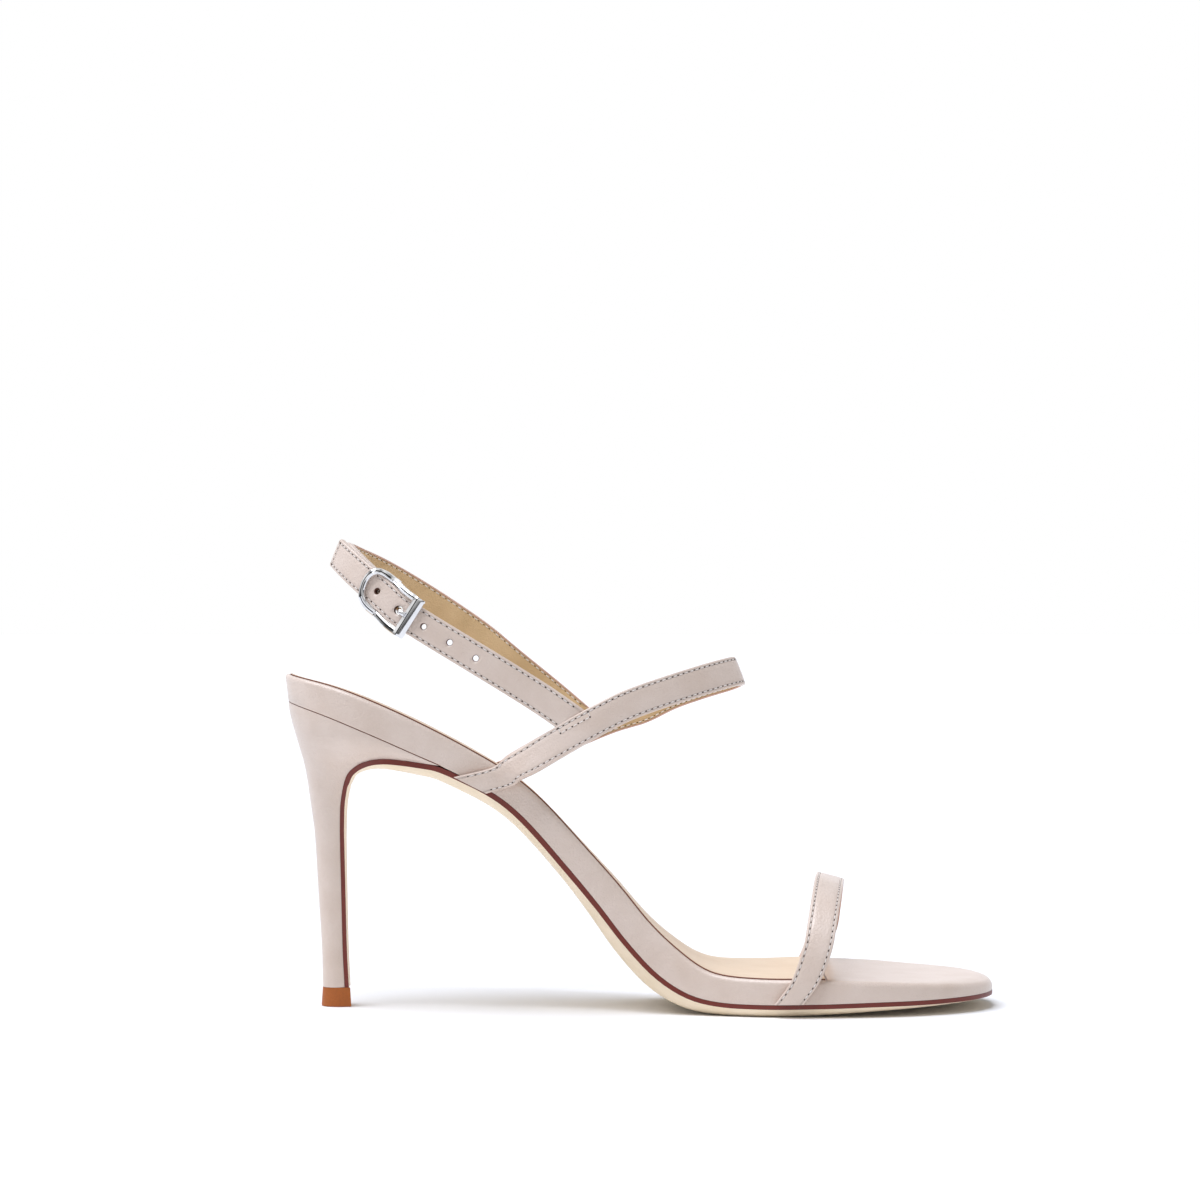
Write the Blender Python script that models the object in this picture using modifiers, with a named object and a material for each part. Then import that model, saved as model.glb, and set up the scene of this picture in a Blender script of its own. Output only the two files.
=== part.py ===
"""Strappy heeled sandal, right foot.

Metres, +Z up. The toe points along +X and the outer side of the foot is at -Y. The origin is on the
floor, under the middle of the heel tip.
"""
import math

import bmesh
import bpy
from mathutils import Matrix, Vector

MM = 0.001
CLEARANCE = 0.3 * MM

# Driving sizes of the sole and the heel
SOLE_LENGTH = 220 * MM
HEEL_OVERHANG = 15 * MM
HEEL_RISE = 95.2 * MM
BALL_WIDTH = 74 * MM
HEEL_ROUND = 30 * MM
TOE_ROUND = 52 * MM
BOARD = 9.4 * MM
BOARD_EDGE = 1.6 * MM
SEAT_CUP = 1.2 * MM
SEAT_CUP_END = 0.5
INNER_DROP = 2.0 * MM
INNER_DROP_FADES = (0.32, 0.62)
TOE_EASE = 1.7 * MM
TOE_EASE_WIDTH = 5 * MM
BACK_LEAN = math.radians(7)
BACK_LEAN_END = 0.16
SOCK = 1.1 * MM
SOCK_INSET = 1.7 * MM
SOCK_RAISE = 0.45 * MM
SOCK_END = 0.753
TREAD = 4.0 * MM
TREAD_EDGE = 1.4 * MM
TREAD_BEVEL = 4.5 * MM
BREAST_FLAP = 1.5 * MM
LIP_ALONG = 0.218
TIP_HEIGHT = 6 * MM
TIP_LENGTH = 8.8 * MM
TIP_WIDTH = 9 * MM
TIP_FLARE = 0.3 * MM
STEM_WIDEST = 0.6

# Driving sizes of the straps
STRAP = 1.8 * MM
STRAP_EDGE = 0.45 * MM
STRAP_STAND_OFF = 0.5 * MM
TOE_STRAP_WIDTH = 8.9 * MM
TOE_ARCH = 40.4 * MM
INSTEP_STRAP_WIDTH = 9.3 * MM
INSTEP_REACH = 140.3 * MM
INSTEP_SPREAD = 29.5 * MM
INSTEP_TOP = 104.5 * MM
ANKLE_STRAP_WIDTH = 9.4 * MM
ANKLE_SPREAD = 28.3 * MM
ANKLE_TOP = 141.9 * MM
FOLD = 1.2 * MM
FOLD_RETURN = 8 * MM
FOLD_TURNS = 8
UNDER_STRAP_FROM = 24 * MM
UNDER_STRAP_TO = 6 * MM
HOLE = 1.8 * MM
PRONG_HOLE = 2.8 * MM
HOLE_PITCH = 9.3 * MM
HOLES_AHEAD = 3
HOLES_BEHIND = 1

# Driving sizes of the buckle
BUCKLE_FROM_TIP = 26.5 * MM
BUCKLE_WIRE = 1.7 * MM
BUCKLE_WIDTH = 13.5 * MM
END_BAR_REACH = 11.2 * MM
END_BAR = 3.6 * MM
END_BAR_THICK = 2.0 * MM
KEEPER_REACH = 7.2 * MM
CENTRE_BAR = 1.6 * MM
PRONG = 1.2 * MM
PRONG_REACH = 6.9 * MM
PRONG_SLOT = 2.2 * MM

# The sole from heel (along 0) to toe (along 1). up is a share of HEEL_RISE and gives the seam between
# the platform and what is under it; centre and half are shares of BALL_WIDTH; board and tread are
# shares of the platform's and the outsole's thickness.
SOLE_COLUMNS = ("along", "up", "centre", "half", "board", "tread")
SOLE_ROWS = (
    (0.00, 1.000, 0.000, 0.358, 0.95, 0.80),
    (0.06, 0.955, 0.000, 0.358, 1.03, 0.85),
    (0.12, 0.899, 0.000, 0.357, 1.02, 0.92),
    (0.18, 0.838, 0.000, 0.354, 0.98, 1.02),
    (0.24, 0.776, -0.005, 0.340, 0.88, 1.08),
    (0.30, 0.701, -0.012, 0.322, 0.80, 1.06),
    (0.34, 0.622, -0.017, 0.310, 0.80, 0.98),
    (0.40, 0.464, -0.020, 0.303, 0.84, 0.94),
    (0.44, 0.352, -0.020, 0.304, 0.89, 1.08),
    (0.48, 0.233, -0.022, 0.314, 0.93, 1.24),
    (0.52, 0.135, -0.025, 0.335, 1.00, 1.28),
    (0.56, 0.074, -0.027, 0.363, 0.95, 1.18),
    (0.60, 0.048, -0.025, 0.395, 0.86, 1.06),
    (0.66, 0.041, -0.018, 0.447, 0.81, 1.04),
    (0.74, 0.044, 0.000, 0.492, 0.78, 0.92),
    (0.82, 0.049, 0.022, 0.503, 0.68, 0.80),
    (0.90, 0.051, 0.045, 0.497, 0.57, 0.62),
    (1.00, 0.056, 0.070, 0.486, 0.46, 0.40),
)

# The heel from its tip to the seat. Each row is one section across it: back and front are shares of the
# way from the tip to the seat's back and to its front lip, back_up and front_up are shares of the rise
# there, width is the share of the way from the tip's width to the seat's, and seat is how far the
# section has taken the outline of the seat.
HEEL_COLUMNS = ("back", "back_up", "front", "front_up", "width", "seat")
HEEL_ROWS = (
    (0.00, 0.000, 0.000, 0.000, 0.000, 0.00),
    (0.03, 0.143, -0.020, 0.183, 0.012, 0.00),
    (0.14, 0.352, -0.034, 0.449, 0.040, 0.00),
    (0.20, 0.478, -0.042, 0.612, 0.075, 0.00),
    (0.26, 0.562, -0.043, 0.722, 0.120, 0.03),
    (0.36, 0.647, -0.030, 0.833, 0.200, 0.08),
    (0.46, 0.730, 0.026, 0.937, 0.335, 0.18),
    (0.55, 0.785, 0.118, 0.985, 0.455, 0.30),
    (0.72, 0.855, 0.262, 1.015, 0.640, 0.48),
    (0.83, 0.900, 0.432, 1.026, 0.785, 0.64),
    (0.92, 0.940, 0.650, 1.020, 0.900, 0.80),
    (0.98, 0.975, 0.891, 1.006, 0.975, 0.94),
    (1.00, 1.000, 1.000, 1.000, 1.000, 1.00),
)

# The instep strap's middle line from the outer side of the platform round the front to the inner side.
# reach and side are shares of INSTEP_REACH (from the heel's back) and INSTEP_SPREAD, and up is a share of
# INSTEP_TOP. tilt and lean are how many degrees the strap's upper edge lies back and to the inner side.
INSTEP_ROWS = (
    (0.502, -0.925, 0.717, 37, 36),
    (0.541, -0.970, 0.746, 31, 28),
    (0.593, -0.995, 0.789, 28, 18),
    (0.645, -1.000, 0.830, 25, 9),
    (0.697, -0.965, 0.868, 23, 3),
    (0.749, -0.895, 0.902, 23, 0),
    (0.802, -0.795, 0.928, 22, 0),
    (0.868, -0.625, 0.956, 21, 0),
    (0.935, -0.390, 0.982, 21, 0),
    (0.985, -0.140, 0.998, 21, 0),
    (1.000, 0.080, 0.998, 21, 0),
    (0.980, 0.300, 0.984, 21, 0),
    (0.920, 0.540, 0.957, 21, 0),
    (0.855, 0.745, 0.924, 22, 0),
    (0.789, 0.890, 0.880, 23, 0),
    (0.719, 0.975, 0.850, 23, -3),
    (0.650, 1.000, 0.812, 23, -9),
    (0.595, 0.960, 0.776, 28, -18),
    (0.548, 0.910, 0.743, 31, -28),
    (0.504, 0.860, 0.712, 37, -36),
)

# Where each strap leaves the seam on the outer and the inner side, as shares of the sole's length.
INSTEP_FEET = (0.264, 0.266)
INSTEP_FEET_RUN = 0.028
TOE_FEET = (0.702, 0.731)
TOE_FEET_LEAN = 0.7
TOE_TOP = 0.768
TOE_PITCH = 0.27

# The ankle straps' middle lines, as shares of INSTEP_REACH, ANKLE_SPREAD and ANKLE_TOP. The buckle
# strap runs from the outer side of the instep strap to its tip at the back of the ankle.
BUCKLE_STRAP_ROWS = (
    (0.655, -1.005, 0.619, -28, 0),
    (0.575, -0.990, 0.674, -29, 0),
    (0.502, -1.000, 0.720, -30, 0),
    (0.411, -0.995, 0.775, -30, 0),
    (0.319, -0.960, 0.830, -30, 0),
    (0.257, -0.890, 0.869, -29, 0),
    (0.223, -0.815, 0.899, -28, 0),
    (0.174, -0.655, 0.940, -26, -5),
    (0.136, -0.450, 0.973, -24, -11),
    (0.111, -0.240, 0.996, -23, -17),
)
# The back strap runs from the inner side of the instep strap round the back of the ankle. From there it
# follows the inside of the buckle strap to the buckle.
BACK_STRAP_ROWS = (
    (0.665, 0.990, 0.611, -28, 0),
    (0.585, 1.005, 0.678, -30, 0),
    (0.500, 1.020, 0.746, -32, 0),
    (0.421, 1.010, 0.810, -32, 0),
    (0.335, 0.985, 0.869, -31, 0),
    (0.257, 0.905, 0.918, -29, 0),
    (0.192, 0.720, 0.955, -26, 0),
    (0.146, 0.460, 0.977, -24, 0),
    (0.124, 0.160, 0.988, -23, 0),
)

# How finely the pieces are divided
STATION = 5.2 * MM
END_STATIONS = 9
HEEL_STATIONS = 24
HEEL_SIDE_POINTS = 9
LIP_SOFTENING = 2
STRAP_STATIONS = 44
INSTEP_STATIONS = 60


def smooth(rows, columns, name, at):
    """Read one column of a table at a value of its first column, on a smooth curve through its rows."""
    keys = [row[0] for row in rows]
    values = [row[columns.index(name)] for row in rows]
    last = len(rows) - 1
    at = min(max(at, keys[0]), keys[-1])
    i = max(k for k in range(last) if keys[k] <= at)
    low, high = max(i - 1, 0), min(i + 2, last)
    gap = keys[i + 1] - keys[i]
    slope_in = (values[i + 1] - values[low]) / (keys[i + 1] - keys[low]) * gap
    slope_out = (values[high] - values[i]) / (keys[high] - keys[i]) * gap
    u = (at - keys[i]) / gap
    return (
        values[i] * (2 * u**3 - 3 * u**2 + 1)
        + slope_in * (u**3 - 2 * u**2 + u)
        + values[i + 1] * (3 * u**2 - 2 * u**3)
        + slope_out * (u**3 - u**2)
    )


def sole(name, along):
    return smooth(SOLE_ROWS, SOLE_COLUMNS, name, along)


def curve_through(points, count):
    """Place count points evenly along a smooth curve through the given ones.

    Each comes with its place among the given points, such as 2.5 for halfway from the third to the next.
    """
    steps = 16
    fine = []
    padded = [2 * points[0] - points[1]] + points + [2 * points[-1] - points[-2]]
    for a, b, c, d in zip(padded, padded[1:], padded[2:], padded[3:]):
        for step in range(steps):
            u = step / steps
            cubic = 3 * b - a - 3 * c + d
            fine.append(0.5 * (2 * b + (c - a) * u + (2 * a - 5 * b + 4 * c - d) * u**2 + cubic * u**3))
    fine.append(points[-1])
    lengths = [0.0]
    for a, b in zip(fine, fine[1:]):
        lengths.append(lengths[-1] + (b - a).length)
    spread, places = [], []
    i = 0
    for k in range(count):
        goal = lengths[-1] * k / (count - 1)
        while i < len(fine) - 2 and lengths[i + 1] < goal:
            i += 1
        u = (goal - lengths[i]) / (lengths[i + 1] - lengths[i])
        spread.append(fine[i].lerp(fine[i + 1], u))
        places.append((i + u) / steps)
    return spread, places


def read_at(values, place):
    """Read a list between its entries."""
    i = min(int(place), len(values) - 2)
    return values[i] + (values[i + 1] - values[i]) * (place - i)


def tangents(points):
    ends = [points[0]] + points + [points[-1]]
    return [(after - before).normalized() for before, after in zip(ends, ends[2:])]


def seam(along):
    """The seam line under the platform, in the shoe's middle plane."""
    return Vector((along * SOLE_LENGTH - HEEL_OVERHANG, 0, HEEL_RISE * sole("up", along)))


def end_round(along):
    """How much of the sole's body width is left near its rounded ends, from 0 to 1."""
    share = 1.0
    for from_end, length, power in (
        (along * SOLE_LENGTH, HEEL_ROUND, 2.2),
        ((1 - along) * SOLE_LENGTH, TOE_ROUND, 2.4),
    ):
        if from_end < length:
            share *= max(0.0, 1 - (1 - from_end / length) ** power) ** (1 / power)
    return share


def edge(along, side):
    """The outline's distance from the middle plane: side is -1 for the outer edge and 1 for the inner."""
    return BALL_WIDTH * (sole("centre", along) + side * sole("half", along) * end_round(along))


def stations(first, last):
    """Shares of the sole's length from first to last, closer together in its rounded ends."""
    heel_end, toe_end = HEEL_ROUND / SOLE_LENGTH, TOE_ROUND / SOLE_LENGTH
    middle = 1 - heel_end - toe_end
    count = round(middle * SOLE_LENGTH / STATION)
    shares = [heel_end + middle * k / count for k in range(count + 1)]
    for k in range(1, END_STATIONS):
        turn = 1 - math.cos(k / END_STATIONS * math.pi / 2)
        shares += [heel_end * turn, 1 - toe_end * turn]
    aside = STATION / SOLE_LENGTH / 4
    low = first + (aside if first > 0 else 0)
    high = last - (aside if last < 1 else 0)
    return [first] + [share for share in sorted(shares) if low < share < high] + [last]


def inset_outline(alongs, inset, close_start=True, close_end=True):
    """Both edges of the sole moved inwards, as pairs of (along, y) for each station."""
    sides = []
    for side in (-1, 1):
        raw = [Vector((a * SOLE_LENGTH, edge(a, side))) for a in alongs]
        moved = []
        for k, point in enumerate(raw):
            direction = raw[min(k + 1, len(raw) - 1)] - raw[max(k - 1, 0)]
            if close_start and k == 0 or close_end and k == len(raw) - 1:
                direction = Vector((0, -side if k == 0 else side)) * -1
            direction.normalize()
            inward = Vector((direction.y, -direction.x)) * side
            moved.append(point + inward * inset)
        sides.append(moved)
    for ends, closed in ((0, close_start), (-1, close_end)):
        if closed:
            middle = (sides[0][ends] + sides[1][ends]) / 2
            sides[0][ends] = middle.copy()
            sides[1][ends] = middle.copy()
    return [((low.x / SOLE_LENGTH, low.y), (high.x / SOLE_LENGTH, high.y)) for low, high in zip(*sides)]


def seam_direction(along):
    """The seam line's direction towards the toe."""
    step = 0.002
    return (seam(min(along + step, 1)) - seam(max(along - step, 0))).normalized()


def bend(along, y, height):
    """Lift a point of the flat sole pattern onto the seam line's curve, height above it."""
    slope = seam_direction(along)
    normal = Vector((-slope.z, 0, slope.x))
    backwards = Vector((-math.sin(BACK_LEAN), 0, math.cos(BACK_LEAN)))
    share = min(max(along / BACK_LEAN_END, 0), 1)
    share = share * share * (3 - 2 * share)
    up = backwards.lerp(normal, share).normalized()
    return seam(min(max(along, 0), 1)) + Vector((0, y, 0)) + up * height


def under(along, y, depth):
    """A point of the outsole, below the seam line."""
    slope = seam_direction(along)
    down = Vector((slope.z, 0, -slope.x))
    return seam(min(along, 1)) + Vector((0, y, 0)) + down * depth


def skin(name, rings, material, start_cap=True, end_cap=True):
    """A closed solid through rings of equal counts, whose points run down one side and up the other.

    A capped end is closed by strips across the ring. An end with no cap has drawn in to a line.
    """
    mesh = bmesh.new()
    rows = [[mesh.verts.new(point) for point in ring] for ring in rings]
    count = len(rows[0])
    for low, high in zip(rows, rows[1:]):
        for k in range(count):
            mesh.faces.new((low[k], low[(k + 1) % count], high[(k + 1) % count], high[k]))
    for row, capped in ((rows[0], start_cap), (rows[-1], end_cap)):
        if capped:
            for k in range((count - 1) // 2):
                corners = (row[k], row[k + 1], row[count - 2 - k], row[count - 1 - k])
                mesh.faces.new(corners if k + 1 < count - 2 - k else corners[:2] + corners[3:])
    bmesh.ops.remove_doubles(mesh, verts=mesh.verts, dist=1e-6)
    bmesh.ops.dissolve_degenerate(mesh, edges=mesh.edges, dist=1e-7)
    bmesh.ops.triangulate(mesh, faces=[f for f in mesh.faces if len(f.verts) > 3])
    bmesh.ops.recalc_face_normals(mesh, faces=mesh.faces)
    return add_object(name, mesh, material)


def add_object(name, mesh, material):
    data = bpy.data.meshes.new(name)
    mesh.to_mesh(data)
    mesh.free()
    data.materials.append(material)
    data.shade_smooth()
    data.set_sharp_from_angle(angle=math.radians(35))
    thing = bpy.data.objects.new(name, data)
    parts.objects.link(thing)
    return thing


def finish(name, colour, roughness, metallic=0.0):
    material = bpy.data.materials.new(name)
    material.use_nodes = True
    shader = material.node_tree.nodes["Principled BSDF"]
    shader.inputs["Base Color"].default_value = (*colour, 1)
    shader.inputs["Roughness"].default_value = roughness
    shader.inputs["Metallic"].default_value = metallic
    return material


def board_thickness(along):
    return BOARD * sole("board", along)


def inner_drop(along):
    """How much lower the board's top lies at its inner edge than at its outer edge."""
    full, none = INNER_DROP_FADES
    fade = min(max((none - along) / (none - full), 0), 1)
    return INNER_DROP * fade * fade * (3 - 2 * fade) * end_round(along)


def cup_depth(along):
    """How far the seat dips in its middle, from the heel to the waist."""
    return SEAT_CUP * max(0.0, 1 - along / SEAT_CUP_END) * end_round(along)


def layer(name, alongs, profile, material):
    """A layer on the seam line's curve.

    profile gives, for a share along, the rows of its edge as (inset, height) from the bottom up. The top
    spans the last row, and dips by the cup.
    """
    pointed = alongs[-1] == 1
    insets = [inset for inset, _ in profile(alongs[0])]
    outlines = {inset: inset_outline(alongs, inset, close_end=pointed) for inset in insets}
    rings = []
    for k, along in enumerate(alongs):
        rows = profile(along)
        drop, wall = inner_drop(along), 0.7 * board_thickness(along)
        left = [(outlines[inset][k][0], height) for inset, height in rows]
        right = [(outlines[inset][k][1], height - drop * min(height / wall, 1)) for inset, height in rows]
        across = []
        (low, outer_top), (high, inner_top) = left[-1], right[-1]
        for share in (0.25, 0.5, 0.75):
            point = tuple(a + (b - a) * share for a, b in zip(low, high))
            top = outer_top + (inner_top - outer_top) * share
            across.append((point, top - cup_depth(along) * math.sin(math.pi * share)))
        rings.append([bend(at, y, height) for (at, y), height in left + across + right[::-1]])
    return skin(name, rings, material, start_cap=False, end_cap=not pointed)


def platform(material):
    """The covered board, with a shallow seat for the sock, and a top that rounds over in front of it."""
    seat_end = SOCK_END + 2 * CLEARANCE / SOLE_LENGTH
    alongs = stations(0, seat_end) + stations(seat_end + CLEARANCE / SOLE_LENGTH, 1)

    def profile(along):
        top = board_thickness(along)
        seat = SOCK - SOCK_RAISE + CLEARANCE if along <= seat_end else 0
        eased = TOE_EASE * (max(0.0, along - seat_end) / (1 - seat_end)) ** 2

        def top_at(inset):
            return top - eased * (1 - inset / TOE_EASE_WIDTH) ** 1.5

        return (
            (0.0, 0.0),
            (0.0, top_at(0) - BOARD_EDGE),
            (0.3 * BOARD_EDGE, top_at(0.3 * BOARD_EDGE) - 0.3 * BOARD_EDGE),
            (0.85 * BOARD_EDGE, top_at(0.85 * BOARD_EDGE)),
            (SOCK_INSET - CLEARANCE, top_at(SOCK_INSET - CLEARANCE) - seat),
            (TOE_EASE_WIDTH, top - seat),
        )

    return layer("platform", alongs, profile, material)


def sock(material):
    """The leather sock, whose painted edge stands a little above the platform's rim."""

    def profile(along):
        bottom = board_thickness(along) - SOCK + SOCK_RAISE
        return (
            (SOCK_INSET, bottom),
            (SOCK_INSET, bottom + 0.7 * SOCK),
            (SOCK_INSET + 0.3 * SOCK, bottom + SOCK),
        )

    return layer("sock", stations(0, SOCK_END), profile, material)


def heel_base():
    return TIP_HEIGHT + CLEARANCE


def heel_column(name, share):
    """Read the heel's table at a share of the way through its rows, from the tip to the seat."""
    rows = [(k / (len(HEEL_ROWS) - 1),) + row for k, row in enumerate(HEEL_ROWS)]
    return smooth(rows, ("share",) + HEEL_COLUMNS, name, share)


def heel_back(share):
    start = -TIP_LENGTH / 2
    x = start + (-HEEL_OVERHANG - start) * heel_column("back", share)
    z = heel_base() + (HEEL_RISE - heel_base() - CLEARANCE) * heel_column("back_up", share)
    return Vector((x, 0, z))


def heel_front(share):
    start = TIP_LENGTH / 2 - BREAST_FLAP - CLEARANCE
    lip = seam(LIP_ALONG)
    x = start + (lip.x - start) * heel_column("front", share)
    z = heel_base() + (lip.z - heel_base() - CLEARANCE) * heel_column("front_up", share)
    return Vector((x, 0, z))


def stem_width(forward):
    """Half the width of the heel's stem, as a share, from its back (0) to its front (1)."""
    if forward < STEM_WIDEST:
        return max(0.0, 1 - (1 - forward / STEM_WIDEST) ** 2) ** 0.5
    return 1 - 0.12 * ((forward - STEM_WIDEST) / (1 - STEM_WIDEST)) ** 2


def heel_half_width(share, forward, side):
    seat_edge = edge(LIP_ALONG * forward, side)
    seat_half = BALL_WIDTH * sole("half", LIP_ALONG)
    width = heel_column("width", share)
    seat = heel_column("seat", share)
    half = TIP_WIDTH / 2 + (seat_half - TIP_WIDTH / 2) * width
    return half * ((1 - seat) * side * stem_width(forward) + seat * seat_edge / seat_half)


def heel(material):
    turns = [k / HEEL_SIDE_POINTS * math.pi / 2 for k in range(HEEL_SIDE_POINTS + 1)]
    forwards = [1.0, (1 + STEM_WIDEST) / 2]
    forwards += [STEM_WIDEST * (1 - math.cos(turn)) for turn in reversed(turns)]
    rings = []
    for k in range(HEEL_STATIONS + 1):
        share = k / HEEL_STATIONS
        back, front = heel_back(share), heel_front(share)
        seat = heel_column("seat", share)
        ring = []
        for side, order in ((-1, forwards), (1, forwards[-2::-1])):
            for forward in order:
                point = back.lerp(front, forward)
                chord = seam(0).lerp(seam(LIP_ALONG), forward)
                point.z += seat**3 * (seam(LIP_ALONG * forward).z - chord.z)
                point.y = heel_half_width(share, forward, side)
                ring.append(point)
        rings.append(ring)
    return skin("heel", rings, material)


def top_piece(material):
    rings = []
    for z, grow in ((0, TIP_FLARE), (0.4 * MM, TIP_FLARE * 1.3), (TIP_HEIGHT, 0)):
        half_length = TIP_LENGTH / 2 + grow
        half_width = TIP_WIDTH / 2 + grow
        ring = []
        for side, order in ((-1, range(10)), (1, range(8, -1, -1))):
            for k in order:
                forward = 0.5 - 0.5 * math.cos(math.pi * (1 - k / 9))
                forward = STEM_WIDEST * forward if k else 1.0
                across = side * half_width * stem_width(forward)
                ring.append(Vector((half_length * (2 * forward - 1), across, z)))
        rings.append(ring)
    return skin("top_piece", rings, material)


def tread_rows(thick, bevel, gap):
    """How far in and how deep each row of the outsole's edge lies, from the seam to the flat underside."""
    edge_depth = min(TREAD_EDGE, 0.6 * thick)
    return (
        (0.0, gap),
        (0.0, edge_depth),
        (0.3 * bevel, edge_depth + 0.55 * (thick - edge_depth)),
        (bevel, thick),
    )


def outsole(material):
    """The outsole runs from the heel tip up the breast, along the arch and under the forefoot."""
    rings = []
    breast = [heel_front(k / HEEL_STATIONS) for k in range(HEEL_STATIONS + 1)]
    full = TREAD * sole("tread", LIP_ALONG)
    for k, line in enumerate(tangents(breast)[:-1]):
        share = k / HEEL_STATIONS
        low, high = (heel_half_width(share, 1.0, side) for side in (-1, 1))
        thick = BREAST_FLAP + (full - BREAST_FLAP) * max(0.0, heel_column("front", share)) ** 0.5
        down = Vector((line.z, 0, -line.x))
        rows = tread_rows(thick, min(TREAD_BEVEL, 0.4 * high), CLEARANCE)
        left = [breast[k] + Vector((0, low + inset, 0)) + down * depth for inset, depth in rows]
        right = [breast[k] + Vector((0, high - inset, 0)) + down * depth for inset, depth in rows]
        rings.append(left + right[::-1])
    alongs = stations(LIP_ALONG, 1)
    bevels = [0.0, 0.3 * TREAD_BEVEL, TREAD_BEVEL]
    outlines = {bevel: inset_outline(alongs, bevel, close_start=False) for bevel in bevels}
    for k, along in enumerate(alongs):
        past_lip = min((along - LIP_ALONG) / 0.04, 1)
        rows = tread_rows(TREAD * sole("tread", along), TREAD_BEVEL, (2 - past_lip) * CLEARANCE)
        left = [under(*outlines[inset][k][0], depth) for inset, depth in rows]
        right = [under(*outlines[inset][k][1], depth) for inset, depth in rows]
        rings.append(left + right[::-1])
    for _ in range(LIP_SOFTENING):
        for k in range(HEEL_STATIONS - 2, HEEL_STATIONS + 3):
            pairs = zip(rings[k - 1], rings[k], rings[k + 1])
            rings[k] = [(before + 2 * here + after) / 4 for before, here, after in pairs]
    for ring in rings:
        for point in ring:
            point.z = max(point.z, 0)
    return skin("outsole", rings, material, end_cap=False)


def strap_section(width, thickness):
    """The outline of a strap's cut end, with eased corners, as (across, out) pairs."""
    half, deep, ease = width / 2, thickness / 2, min(STRAP_EDGE, thickness / 3)
    return [
        (half, deep - ease),
        (half - ease, deep),
        (-half + ease, deep),
        (-half, deep - ease),
        (-half, -deep + ease),
        (-half + ease, -deep),
        (half - ease, -deep),
        (half, -deep + ease),
    ]


def band(name, points, across, width, thickness, material):
    """A flat strap along a row of points. across and thickness are lists with one entry a point."""
    rings = []
    for point, line, wide, thick in zip(points, tangents(points), across, thickness):
        out = line.cross(wide).normalized()
        rings.append([point + wide * a + out * b for a, b in strap_section(width, thick)])
    return skin(name, rings, material)


def join(base, other, operation="UNION"):
    """Join other into base, or cut it away, and drop it."""
    change = base.modifiers.new(operation.lower(), "BOOLEAN")
    change.operation = operation
    change.object = other
    change.solver = "EXACT"
    bpy.context.view_layer.update()
    data = bpy.data.meshes.new_from_object(base.evaluated_get(bpy.context.evaluated_depsgraph_get()))
    base.modifiers.clear()
    base.data = data
    bpy.data.objects.remove(other)


def wall_point(along, height, side, thickness=STRAP):
    """The middle of a strap that lies against the platform's wall, height above the seam."""
    return bend(along, edge(along, side) + side * (STRAP_STAND_OFF + thickness / 2), height)


def wall_direction(along, side):
    """Along the platform's edge towards the heel."""
    step = 0.01
    back, front = seam(along - step), seam(along + step)
    back.y, front.y = edge(along - step, side), edge(along + step, side)
    return (back - front).normalized()


def toe_strap(material):
    """Up the outer side of the platform, over the toes and down the inner side."""
    outer, inner = TOE_FEET
    start = wall_point(outer, CLEARANCE, -1)
    end = wall_point(inner, CLEARANCE, 1)
    rise = board_thickness(outer)
    outer_rim, inner_rim = (foot + TOE_FEET_LEAN * rise / SOLE_LENGTH for foot in TOE_FEET)
    low, high = wall_point(outer_rim, rise, -1), wall_point(inner_rim, rise, 1)
    points = [start, low]
    across = [wall_direction(outer, -1), wall_direction(outer_rim, -1)]
    arch = 11
    for k in range(1, arch):
        turn = math.pi * (k / arch - 0.5)
        sweep = math.copysign(abs(math.sin(turn)) ** 0.8, turn)
        climb = math.cos(turn) ** 0.85
        foot = low.lerp(high, 0.5 + 0.5 * sweep)
        lean = climb**0.55 * (seam(TOE_TOP).x - (low.x + high.x) / 2)
        points.append(foot + Vector((lean, 0, climb * (TOE_ARCH - STRAP / 2 - foot.z))))
        nearer = wall_direction(outer_rim, -1) if k < arch / 2 else wall_direction(inner_rim, 1)
        across.append(nearer.lerp(Vector((-1, 0, TOE_PITCH)).normalized(), climb))
    points += [high, end]
    across += [wall_direction(inner_rim, 1), wall_direction(inner, 1)]
    line, places = curve_through(points, STRAP_STATIONS)
    across = [read_at(across, place) for place in places]
    return band("toe_strap", line, across, TOE_STRAP_WIDTH, [STRAP] * STRAP_STATIONS, material)


def from_rows(rows, spread, top):
    """A strap's points and the directions across it, from its table."""
    points, across = [], []
    for reach, side, up, tilt, lean in rows:
        points.append(Vector((reach * INSTEP_REACH - HEEL_OVERHANG, side * spread, up * top)))
        back, inward = math.radians(tilt), math.radians(lean)
        upright = math.cos(inward)
        across.append(Vector((-math.sin(back) * upright, math.sin(inward), math.cos(back) * upright)))
    return points, across


def even_strap(points, across, count):
    """Points and directions placed evenly along a strap."""
    line, places = curve_through(points, count)
    return line, [read_at(across, place) for place in places]


def buckle_strap_line():
    return even_strap(*from_rows(BUCKLE_STRAP_ROWS, ANKLE_SPREAD, ANKLE_TOP), STRAP_STATIONS)


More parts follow.
